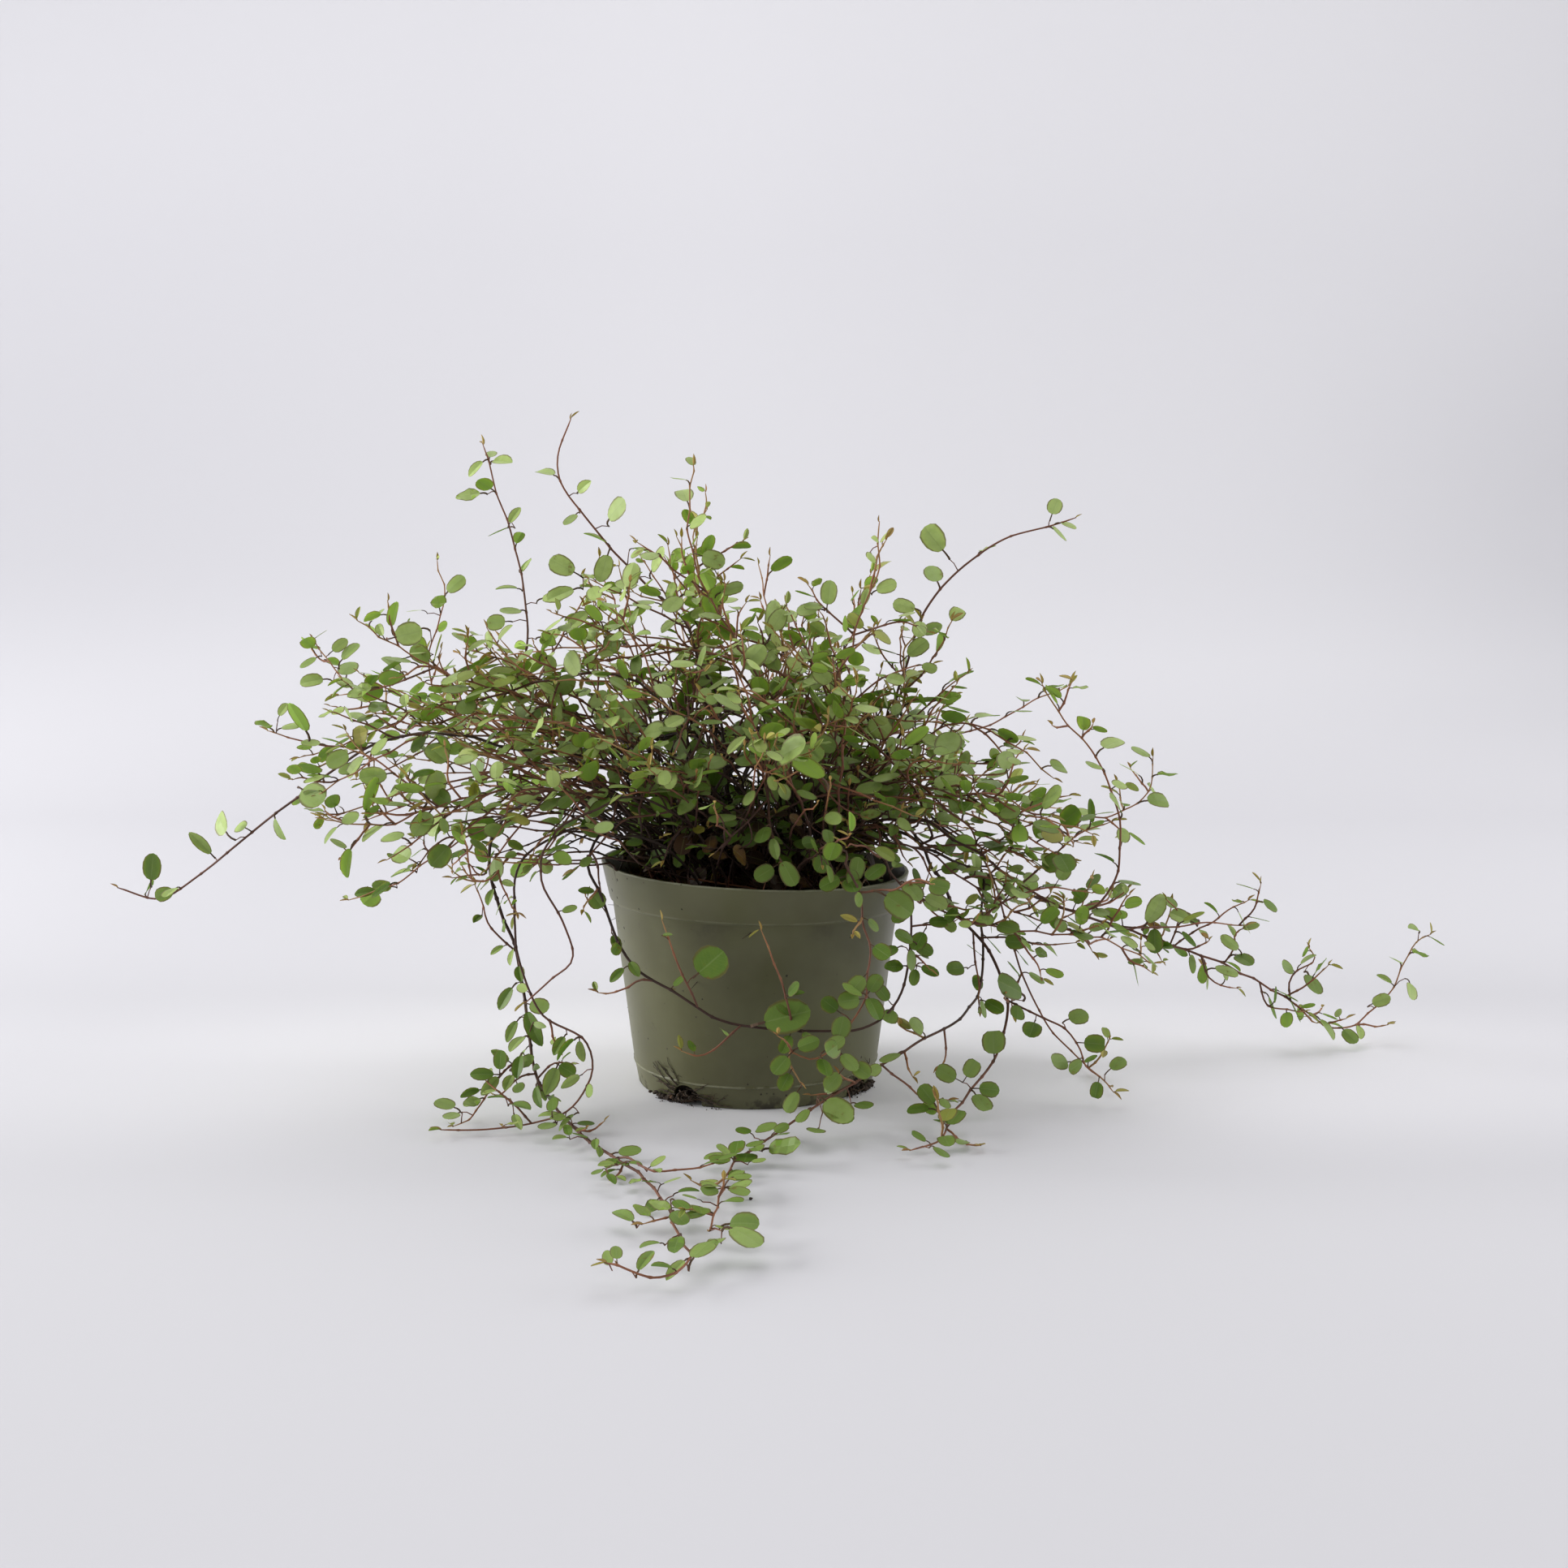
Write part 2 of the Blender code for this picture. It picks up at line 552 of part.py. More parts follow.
def stem_bmesh(path, radius, nodes, parts):
    """A tapering four-sided tube along the path, closed at both ends."""
    curve = bpy.data.curves.new("stem", "CURVE")
    curve.dimensions = "3D"
    curve.bevel_depth = 1.0
    curve.bevel_resolution = 0
    curve.use_fill_caps = True
    rings = ring_distances(path, nodes)
    spline = curve.splines.new("POLY")
    spline.points.add(len(rings) - 1)
    for point, distance in zip(spline.points, rings):
        point.co = (*path.at(distance), 1)
        point.radius = radius + (TIP_RADIUS - radius) * distance / path.length
    tube = add_object("stem", curve, parts)
    mesh = evaluated_mesh(tube)
    bpy.data.objects.remove(tube, do_unlink=True)
    bm = bmesh.new()
    bm.from_mesh(mesh)
    bpy.data.meshes.remove(mesh)
    bmesh.ops.remove_doubles(bm, verts=bm.verts, dist=RING_MERGE)
    bmesh.ops.recalc_face_normals(bm, faces=bm.faces)
    return bm


class Leaf:
    """One leaf: where it leaves the stem, which way it goes and how large it is."""

    def __init__(self, root, outward, blade_direction, length, width, petiole):
        self.root = root
        self.outward = outward
        level = Vector((0, 0, 1)) if abs(blade_direction.z) < 0.9 else Vector((1, 0, 0))
        side = level.cross(blade_direction).normalized()
        up = blade_direction.cross(side)
        joint = root + outward * petiole
        self.rings = [(joint, side, up, PETIOLE_WIDTH)]
        for along, across in BLADE_STATIONS:
            self.rings.append((joint + blade_direction * length * along, side, up,
                               width * across))

    def lowest(self):
        return min(centre.z - abs(side.z) * width / 2 - LEAF_THICKNESS
                   for centre, side, _, width in self.rings)

    def tree(self):
        """A slightly larger leaf, for testing that it is clear of everything else."""
        verts = []
        grow = 2 * LEAF_CLEARANCE
        start = self.root + self.outward * CLEAR_OF_STEM
        for centre, side, up, width in [(start, *self.rings[0][1:])] + self.rings:
            half = side * (width + grow) / 2
            rise = up * (LEAF_THICKNESS + grow) / 2
            verts += [centre - half - rise, centre + half - rise,
                      centre + half + rise, centre - half + rise]
        quads = []
        for ring in range(len(self.rings)):
            for corner in range(4):
                after = (corner + 1) % 4
                low, high = 4 * ring, 4 * ring + 4
                quads.append((low + corner, low + after, high + after, high + corner))
        last = 4 * len(self.rings)
        quads += [(0, 1, 2, 3), (last, last + 1, last + 2, last + 3)]
        return BVHTree.FromPolygons(verts, quads)

    def grow_on(self, bm, stem_radius):
        face = nearest_face(bm, self.root + self.outward * stem_radius)
        for centre, side, up, width in self.rings:
            thickness = PETIOLE_WIDTH if width == PETIOLE_WIDTH else LEAF_THICKNESS
            face = extrude_to(bm, face, centre, side, up, width, thickness)


def leaf_tries(path, distance, turn, rng):
    """Leaves that could grow at a node, the best placed first."""
    root = path.at(distance)
    along = path.direction(distance)
    across = along.orthogonal().normalized()
    length = rng.uniform(*LEAF_LENGTHS) * MM
    width = rng.uniform(*LEAF_WIDTHS) * MM
    petiole = rng.uniform(*PETIOLE_LENGTHS) * MM
    for attempt in range(LEAF_TRIES):
        angle = turn + attempt * TURN_BETWEEN_TRIES
        reach = Matrix.Rotation(angle, 3, along) @ across
        outward = (reach + along * 0.5).normalized()
        blade = (reach + along * 0.6 + Vector((0, 0, 0.25))).normalized()
        shrink = 1.0 if attempt < FULL_SIZE_TRIES else SMALLER_LEAF
        yield Leaf(root, outward, blade, length * shrink, width * shrink, petiole)


def build_shoots(parts, obstacles):
    material = make_material("shoot", *SHOOT)
    plans = []
    trees = list(obstacles)
    for name, (radius, leaves, foot, route) in SHOOTS.items():
        path = Path(shoot_route(foot, route))
        nodes = leaf_node_distances(path, leaves)
        bm = stem_bmesh(path, radius * MM, nodes, parts)
        trees.append(BVHTree.FromBMesh(bm))
        plans.append((name, radius * MM, path, nodes, bm))
    for number, (name, radius, path, nodes, bm) in enumerate(plans):
        rng = random.Random(number)
        for count, node in enumerate(nodes):
            for leaf in leaf_tries(path, node, count * math.pi + number, rng):
                shape = leaf.tree()
                if leaf.lowest() > LOWEST_LEAF and not any(map(shape.overlap, trees)):
                    leaf.grow_on(bm, radius)
                    trees.append(shape)
                    break
        mesh = mesh_from_bmesh(name, bm)
        shade_smooth(mesh, SHOOT_HARD_EDGE)
        add_object(name, mesh, parts, material)


def build():
    clear_scene()
    parts = make_collection("potted_maidenhair_vine")
    cutters = make_collection("cutters")
    solids = [build_pot(parts, cutters), build_peat(parts, cutters)] + build_root_tufts(parts)
    graph = bpy.context.evaluated_depsgraph_get()
    build_shoots(parts, [BVHTree.FromObject(solid, graph) for solid in solids])


build()
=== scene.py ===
"""A potted maidenhair vine: wiry shoots with small round leaves in a plastic nursery pot.

The pot comes first, then the peat in it, the roots at its drainage notches, the leaf and stem
finishes, and the shoots in the order they were planted: upright, left, right and back.
"""
import json
import random
from functools import partialmethod
from math import atan2, ceil, cos, dist, hypot, pi, radians, sin, tan, tau

import bmesh
import bpy
from mathutils import Matrix, Vector, noise

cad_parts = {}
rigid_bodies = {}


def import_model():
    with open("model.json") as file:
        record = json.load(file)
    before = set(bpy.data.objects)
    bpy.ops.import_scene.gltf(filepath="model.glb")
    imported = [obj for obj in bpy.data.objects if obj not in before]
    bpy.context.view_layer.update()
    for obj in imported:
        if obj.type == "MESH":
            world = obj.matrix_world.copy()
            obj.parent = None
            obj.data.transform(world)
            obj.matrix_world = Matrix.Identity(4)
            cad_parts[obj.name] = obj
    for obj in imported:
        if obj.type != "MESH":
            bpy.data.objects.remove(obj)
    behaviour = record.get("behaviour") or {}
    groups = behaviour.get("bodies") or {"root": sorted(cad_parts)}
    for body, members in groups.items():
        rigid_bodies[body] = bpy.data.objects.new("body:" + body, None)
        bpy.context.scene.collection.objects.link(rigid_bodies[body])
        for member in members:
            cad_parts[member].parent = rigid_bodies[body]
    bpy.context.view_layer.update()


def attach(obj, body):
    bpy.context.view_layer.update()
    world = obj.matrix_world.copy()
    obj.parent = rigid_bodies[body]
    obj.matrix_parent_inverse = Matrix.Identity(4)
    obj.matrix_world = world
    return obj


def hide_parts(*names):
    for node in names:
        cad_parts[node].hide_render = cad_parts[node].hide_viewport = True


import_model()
MM = 0.001
UP = Vector((0, 0, 1))


# ------------------------------
# Pot. One thin injection moulding in sage green polypropylene: a tapered wall with a rim band
# to grip, a rough parting ring above its foot, and four arched drainage notches cut into the
# corner of wall and floor. It is scuffed at the ring and rim, spattered with peat, and darker
# all over the inside of its wall.
POT_HEIGHT = 85.4 * MM
RIM_RADIUS = 60.0 * MM
RIM_LEAN = radians(2.4)
BAND_BOTTOM = 71.7 * MM
BAND_BOTTOM_RADIUS = 56.8 * MM
BAND_STEP = 0.8 * MM
RING_HEIGHT = 8.7 * MM
RING_RADIUS = 47.9 * MM
BASE_RADIUS = 46.2 * MM
WALL = 1.6 * MM
FLOOR_TOP = 3.6 * MM
FLOOR_UNDERSIDE = 2.2 * MM
PAD_RADIUS = 15.0 * MM
EDGE = 0.5 * MM
NOTCHES = [radians(-123 + 90 * quarter) for quarter in range(4)]
NOTCH_RADIUS = 6.5 * MM
NOTCH_HEIGHT = 1.0 * MM
NOTCH_REACH = 46 * MM       # from the pot's axis to the middle of a cut
NOTCH_CUT = 12 * MM
TURN_STEPS = 180


class Number:
    """A socket that carries a number, for use in sums that add their own Math nodes."""

    def __init__(self, tree, socket):
        self.tree = tree
        self.socket = socket

    def maths(self, operation, *others):
        terms = dict(enumerate((self, *others)))
        return self.tree.number("ShaderNodeMath", terms, operation=operation)

    def __rsub__(self, other):
        return self.tree.number("ShaderNodeMath", {0: other, 1: self}, operation="SUBTRACT")

    __add__ = __radd__ = partialmethod(maths, "ADD")
    __mul__ = __rmul__ = partialmethod(maths, "MULTIPLY")
    __sub__ = partialmethod(maths, "SUBTRACT")
    __truediv__ = partialmethod(maths, "DIVIDE")
    __pow__ = partialmethod(maths, "POWER")
    __abs__ = partialmethod(maths, "ABSOLUTE")
    at_least = partialmethod(maths, "MAXIMUM")
    at_most = partialmethod(maths, "MINIMUM")
    above = partialmethod(maths, "GREATER_THAN")


class Tree:
    """A node tree, with one method that adds any node to it."""

    def __init__(self, node_tree):
        self.node_tree = node_tree
        node_tree.nodes.clear()

    def node(self, kind, sockets=(), **settings):
        node = self.node_tree.nodes.new(kind)
        for name, value in settings.items():
            setattr(node, name, value)
        for name, value in dict(sockets).items():
            socket = node.inputs[name]
            value = getattr(value, "socket", value)
            if isinstance(value, bpy.types.NodeSocket):
                self.node_tree.links.new(value, socket)
            else:
                socket.default_value = value
        return node

    def number(self, kind, sockets=(), output=0, **settings):
        return Number(self, self.node(kind, sockets, **settings).outputs[output])

    def parts(self, vector):
        """The three numbers in a vector."""
        split = self.node("ShaderNodeSeparateXYZ", {0: vector})
        return [Number(self, socket) for socket in split.outputs]


class Finish(Tree):
    """A surface material; its colours are (red, green, blue), its lengths metres."""

    def __init__(self, name):
        self.material = bpy.data.materials.new(name)
        self.material.use_nodes = True
        super().__init__(self.material.node_tree)
        self.position = self.node("ShaderNodeTexCoord").outputs["Object"]

    def attribute(self, name, output="Fac"):
        return self.number("ShaderNodeAttribute", (), output, attribute_name=name)

    def noise(self, scale, detail=3.0, roughness=0.5, stretch=(1, 1, 1)):
        """Soft random values between about 0.25 and 0.75; scale is cells in a metre."""
        mapped = self.node("ShaderNodeMapping", {"Vector": self.position, "Scale": stretch})
        return self.number("ShaderNodeTexNoise", {
            "Vector": mapped.outputs[0], "Scale": scale, "Detail": detail,
            "Roughness": roughness})

    def smooth(self, value, low, high):
        """0 below low, 1 above high, eased between; high may be under low to turn it round."""
        ends = (0.0, 1.0) if low < high else (1.0, 0.0)
        return self.number("ShaderNodeMapRange", {
            "Value": value, "From Min": min(low, high), "From Max": max(low, high),
            "To Min": ends[0], "To Max": ends[1]}, interpolation_type="SMOOTHSTEP")

    def blend(self, share, first, second):
        """One colour over another."""
        first, second = ((*colour, 1) if isinstance(colour, tuple) else colour
                         for colour in (first, second))
        mix = self.node("ShaderNodeMix", {0: share, 6: first, 7: second}, data_type="RGBA")
        return mix.outputs[2]

    def ramp(self, value, stops):
        """A colour that changes through (place, colour) stops as the value goes from 0 to 1."""
        node = self.node("ShaderNodeValToRGB", {0: value})
        elements = node.color_ramp.elements
        while len(elements) < len(stops):
            elements.new(0.5)
        for element, (place, colour) in zip(elements, stops):
            element.position = place
            element.color = (*colour, 1)
        return node.outputs[0]

    def bump(self, height, distance, strength=1.0):
        return self.node("ShaderNodeBump", {
            "Height": height, "Distance": distance, "Strength": strength}).outputs[0]

    def shaded(self, kind="ShaderNodeBsdfPrincipled", **sockets):
        """The finished material, with its shader's sockets set."""
        shader = self.node(kind, {
            name.replace("_", " ").title().replace("Ior", "IOR"): value
            for name, value in sockets.items()})
        self.node("ShaderNodeOutputMaterial", {"Surface": shader.outputs[0]})
        return self.material


def wall_radius(height):
    """Radius of the pot's outer wall at a height below the rim band."""
    if height < RING_HEIGHT:
        return BASE_RADIUS + (RING_RADIUS - BASE_RADIUS) * height / RING_HEIGHT
    share = (height - RING_HEIGHT) / (BAND_BOTTOM - RING_HEIGHT)
    return RING_RADIUS + (BAND_BOTTOM_RADIUS - BAND_STEP - RING_RADIUS) * share


def pot_section():
    """The wall's section: up the inside, over the rim, down the outside, under the base."""
    return [
        (0, FLOOR_TOP),
        (wall_radius(FLOOR_TOP) - WALL - EDGE, FLOOR_TOP),
        (wall_radius(FLOOR_TOP + EDGE) - WALL, FLOOR_TOP + EDGE),
        (wall_radius(BAND_BOTTOM) - WALL, BAND_BOTTOM),
        (BAND_BOTTOM_RADIUS - WALL, BAND_BOTTOM + BAND_STEP),
        (RIM_RADIUS - WALL, POT_HEIGHT - EDGE),
        (RIM_RADIUS - WALL + EDGE * 0.4, POT_HEIGHT - EDGE * 0.2),
        (RIM_RADIUS - WALL / 2, POT_HEIGHT),

        (RIM_RADIUS - EDGE * 0.4, POT_HEIGHT - EDGE * 0.1),
        (RIM_RADIUS, POT_HEIGHT - EDGE),
        (BAND_BOTTOM_RADIUS + EDGE * 0.6, BAND_BOTTOM + EDGE * 1.2),
        (BAND_BOTTOM_RADIUS + EDGE * 0.2, BAND_BOTTOM + EDGE * 0.3),
        (BAND_BOTTOM_RADIUS - EDGE, BAND_BOTTOM - EDGE * 0.2),
        (wall_radius(BAND_BOTTOM - EDGE * 1.6), BAND_BOTTOM - EDGE * 1.6),
        (RING_RADIUS + 0.05 * MM, RING_HEIGHT + 0.5 * MM),
        (RING_RADIUS + 0.35 * MM, RING_HEIGHT + 0.15 * MM),
        (RING_RADIUS + 0.30 * MM, RING_HEIGHT - 0.2 * MM),
        (wall_radius(RING_HEIGHT - 0.5 * MM) - 0.1 * MM, RING_HEIGHT - 0.5 * MM),
        (wall_radius(EDGE), EDGE),
        (BASE_RADIUS - EDGE * 0.3, EDGE * 0.3),

        (BASE_RADIUS - EDGE, 0),
        (BASE_RADIUS - WALL, 0),
        (BASE_RADIUS - WALL - EDGE, FLOOR_UNDERSIDE),
        (PAD_RADIUS + EDGE, FLOOR_UNDERSIDE),
        (PAD_RADIUS, 0),
        (0, 0),
    ]


def closer_points(section, longest):
    """The section with points added so that no step along it is long."""
    fuller = [section[0]]
    for start, end in zip(section, section[1:]):
        pieces = max(1, ceil(dist(start, end) / longest))
        for piece in range(1, pieces + 1):
            share = piece / pieces
            fuller.append(tuple(a + (b - a) * share for a, b in zip(start, end)))
    return fuller


def turned(section, steps):
    """A shell turned once around Z from a section of (radius, height) that ends on the axis."""
    bm = bmesh.new()
    rings = []
    for radius, height in section:
        count = steps if radius > 0 else 1
        turns = [tau * step / steps for step in range(count)]
        rings.append([bm.verts.new((radius * cos(turn), radius * sin(turn), height))
                      for turn in turns])
    for ring, after in zip(rings, rings[1:]):
        for step in range(steps):
            ahead = (step + 1) % steps
            corners = [ring[step % len(ring)], ring[ahead % len(ring)],
                       after[ahead % len(after)], after[step % len(after)]]
            bm.faces.new(dict.fromkeys(corners))
    bmesh.ops.recalc_face_normals(bm, faces=bm.faces)
    return bm


def new_mesh(name, bm, crease=None):
    """A mesh from a bmesh, smooth except where it folds more sharply than the crease."""
    mesh = bpy.data.meshes.new(name)
    bm.to_mesh(mesh)
    bm.free()
    if crease:
        mesh.shade_smooth()
        mesh.set_sharp_from_angle(angle=radians(crease))
    return mesh


def show(name, mesh, material=None):
    piece = bpy.data.objects.new(name, mesh)
    bpy.context.scene.collection.objects.link(piece)
    if material:
        mesh.materials.clear()
        mesh.materials.append(material)
    return piece


def settled(piece):
    """Put the result of the piece's modifiers in its mesh, and drop the modifiers."""
    graph = bpy.context.evaluated_depsgraph_get()
    mesh = bpy.data.meshes.new_from_object(piece.evaluated_get(graph))
    piece.modifiers.clear()
    piece.data = mesh
    mesh.name = piece.name


def soft_wall(bm):
    """The dents of a thin wall, the ragged ring and rim, and the rim's slight lean."""
    for vertex in bm.verts:
        x, y, z = vertex.co
        if hypot(x, y) > PAD_RADIUS * 2:
            around = Vector((x, y, 0)).normalized()
            low = noise.noise(Vector((around.x, around.y, z / POT_HEIGHT)) * 2.1)
            fine = noise.noise(Vector((around.x, around.y, z * 60)) * 9)
            vertex.co += around * (0.30 * low + 0.04 * fine) * MM * min(1, z / RING_HEIGHT)
            if abs(z - RING_HEIGHT) < 0.3 * MM:
                ragged = noise.noise(Vector((x, y, z)) * 420)
                vertex.co += (around * 0.22 + UP * 0.30) * MM * ragged
            if z > POT_HEIGHT - 0.3 * MM:
                vertex.co.z += 0.16 * MM * noise.noise(Vector((x, y, 0)) * 260)
        vertex.co.z -= x * tan(RIM_LEAN) * (z / POT_HEIGHT) ** 3


def cut_notches(pot):
    """One lying cylinder for each notch, taken out of the wall and the floor's edge."""
    bm = bmesh.new()
    for angle in NOTCHES:
        place = (Matrix.Rotation(angle, 4, "Z")
                 @ Matrix.Translation((NOTCH_REACH, 0, NOTCH_HEIGHT))
                 @ Matrix.Rotation(pi / 2, 4, "Y"))
        bmesh.ops.create_cone(bm, cap_ends=True, segments=40, radius1=NOTCH_RADIUS,
                              radius2=NOTCH_RADIUS, depth=NOTCH_CUT, matrix=place)
    cutter = show("notch_cutter", new_mesh("notch_cutter", bm))
    cut = pot.modifiers.new("notches", "BOOLEAN")
    cut.operation = "DIFFERENCE"
    cut.object = cutter
    settled(pot)
    bpy.data.objects.remove(cutter, do_unlink=True)


def pot_plastic():
    """Sage green plastic: scuffed pale at the ring and rim, specked and smeared with peat, darker
    inside.
    """
    finish = Finish("pot_plastic")
    x, y, z = finish.parts(finish.position)
    radius = (x * x + y * y) ** 0.5
    height = z + x * tan(RIM_LEAN) * ((z / POT_HEIGHT).at_least(0) ** 3)
    cloudy = finish.noise(22, 4, 0.6)
    rubbed = finish.noise(170, 4, 0.65)
    grainy = finish.noise(1500, 2)
    green = finish.blend(finish.smooth(cloudy, 0.35, 0.65),
                         (0.088, 0.086, 0.035), (0.113, 0.112, 0.050))

    ring = finish.smooth(abs(height - RING_HEIGHT), 0.65 * MM, 0.15 * MM)
    band = finish.smooth(abs(height - BAND_BOTTOM - 0.3 * MM), 0.7 * MM, 0.1 * MM)
    rim = finish.smooth(height, POT_HEIGHT - 0.75 * MM, POT_HEIGHT - 0.25 * MM)
    worn = finish.smooth(rubbed, 0.40, 0.56)
    pale = (ring * worn * 0.75 + band * (0.12 + worn * 0.25)).at_most(1)
    pale = pale.at_least(rim * (0.25 + worn * 0.5))
    coloured = finish.blend(pale, green, (0.23, 0.23, 0.15))

    speck = finish.node("ShaderNodeTexVoronoi", {
        "Vector": finish.position, "Scale": 420.0, "Randomness": 1.0}).outputs
    chosen = finish.number("ShaderNodeSeparateColor", {0: speck["Color"]})
    crowding = finish.noise(32, 3, 0.6)
    left_side = finish.smooth(x, 10 * MM, -50 * MM)
    low_down = finish.smooth(height, 40 * MM, 0.0)
    share = (crowding - 0.50) * 1.1 + left_side * 0.10 + low_down * 0.08
    specks = (share - chosen).above(0) * finish.smooth(
        Number(finish, speck["Distance"]) * (rubbed + 0.7) - chosen, 0.16, 0.06)

    smears = finish.smooth(finish.noise(95, 5, 0.62, (1, 1, 0.55)), 0.685, 0.75)
    foot = finish.smooth(height, 9 * MM, 0.0)
    grime = finish.smooth(rubbed + foot * 0.16 + (cloudy - 0.5) * 0.7, 0.60, 0.74) * foot
    # The whole inside of the wall above the floor is darkened, patchily.
    inside = finish.smooth(radius - height * ((RIM_RADIUS - RING_RADIUS) / POT_HEIGHT),
                           45.9 * MM, 45.5 * MM) * (height.above(FLOOR_TOP))
    dirt_and_dark_inside = (specks * 0.85).at_least(smears * 0.7).at_least(grime * 0.8).at_least(
        inside * (finish.smooth(rubbed, 0.40, 0.60) * 0.45 + 0.5))
    coloured = finish.blend(dirt_and_dark_inside, coloured, (0.022, 0.015, 0.010))

    roughness = 0.40 + (cloudy - 0.5) * 0.25 + pale * 0.25 + dirt_and_dark_inside * 0.4
    relief = grainy * 0.15 + dirt_and_dark_inside * 1.2 + rubbed * pale * 1.5 + cloudy * 0.5
    return finish.shaded(base_color=coloured, roughness=roughness,
                         normal=finish.bump(relief, 0.12 * MM, 0.7))


pot_shell = turned(closer_points(pot_section(), 5 * MM), TURN_STEPS)
soft_wall(pot_shell)
pot = show("moulded_pot", new_mesh("moulded_pot", pot_shell), pot_plastic())
cut_notches(pot)
pot.data.shade_smooth()
pot.data.set_sharp_from_angle(angle=radians(32))
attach(pot, "root")
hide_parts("pot")


# ------------------------------
# Peat. A dark, crumbly plug that fills the pot to about 13 mm below the rim and mounds up to
# the middle, strewn with crumbs of peat and short brown fibres. It is held by the pot alone.
PEAT_GAP = 0.6 * MM
PEAT_EDGE_TOP = 70.0 * MM
PEAT_CENTRE_TOP = 74.0 * MM
MOUND_STEPS = 34


def peat_top(x, y):
    """Height of the gently mounded peat at a place."""
    share = min(1.0, hypot(x, y) / (BAND_BOTTOM_RADIUS - WALL))
    return PEAT_CENTRE_TOP + (PEAT_EDGE_TOP - PEAT_CENTRE_TOP) * share ** 2


def peat_section():
    """The mounded top from the centre out, down inside the wall, then in to the centre."""
    bottom = FLOOR_TOP + PEAT_GAP
    outer = wall_radius(PEAT_EDGE_TOP) - WALL - PEAT_GAP
    mound = [(outer * step / MOUND_STEPS, peat_top(outer * step / MOUND_STEPS, 0))
             for step in range(MOUND_STEPS + 1)]
    low_corner = wall_radius(bottom) - WALL - PEAT_GAP - EDGE
    return mound + [(low_corner, bottom), (0, bottom)]


def crumble(bm):
    """Lumps and pits in the peat's top."""
    for vertex in bm.verts:
        if vertex.co.z > PEAT_EDGE_TOP - 1 * MM:
            flat = Vector((vertex.co.x, vertex.co.y, 0))
            lump = noise.fractal(flat * 110, 0.9, 2.1, 5)
            vertex.co.z += (1.6 * lump + 0.8 * noise.noise(flat * 420)) * MM


def peat_finish():
    """Dark brown peat, paler where it has dried, with a rusty fleck here and there."""
    finish = Finish("peat")
    patch = finish.noise(60, 4, 0.6)
    crumb = finish.noise(900, 4, 0.65)
    fleck = finish.noise(420, 3, 0.5)
    tint = finish.attribute("tint")
    dark = finish.blend(finish.smooth(crumb + tint * 0.2, 0.42, 0.72),
                        (0.011, 0.0075, 0.005), (0.046, 0.028, 0.017))
    dry = finish.blend(finish.smooth(patch, 0.52, 0.72) * 0.6, dark, (0.062, 0.038, 0.022))
    rusty = finish.blend(finish.smooth(fleck + tint * 0.1, 0.66, 0.74), dry,
                         (0.120, 0.060, 0.028))
    return finish.shaded(base_color=rusty, roughness=0.93 - crumb * 0.12,
                         normal=finish.bump(crumb, 0.6 * MM, 0.8))


class Modeller(Tree):
    """A Geometry Nodes tree; its inputs are given as names and kinds of socket."""

    def __init__(self, name, **inputs):
        super().__init__(bpy.data.node_groups.new(name, "GeometryNodeTree"))
        new_socket = self.node_tree.interface.new_socket
        new_socket("Geometry", in_out="OUTPUT", socket_type="NodeSocketGeometry")
        self.identifiers = {
            label: new_socket(label.replace("_", " "), in_out="INPUT",
                              socket_type="NodeSocket" + kind).identifier
            for label, kind in {"Geometry": "Geometry", **inputs}.items()}
        self.given = self.node("NodeGroupInput").outputs

    def named(self, attribute, kind="FLOAT"):
        return self.number("GeometryNodeInputNamedAttribute", {"Name": attribute},
                           data_type=kind)

    def shapes(self, collection):
        """The shapes of a collection, to pick from."""
        return self.node("GeometryNodeCollectionInfo", {
            "Collection": collection, "Separate Children": True,
            "Reset Children": True}).outputs[0]

    def made_real(self, *parts):
        """Several parts in one, with every instance made real."""
        joined = self.node("GeometryNodeJoinGeometry")
        for part in parts:
            self.node_tree.links.new(part, joined.inputs[0])
        return self.node("GeometryNodeRealizeInstances", {
            "Geometry": joined.outputs[0]}).outputs[0]

    def with_material(self, geometry, material, **sockets):
        return self.node("GeometryNodeSetMaterial", {
            "Geometry": geometry, "Material": material, **sockets}).outputs[0]

    def run(self, piece, **inputs):
        """Run the tree on a piece and keep its result as the piece's plain mesh."""
        modifier = piece.modifiers.new(self.node_tree.name, "NODES")
        modifier.node_group = self.node_tree
        for label, value in inputs.items():
            modifier[self.identifiers[label]] = value
        settled(piece)


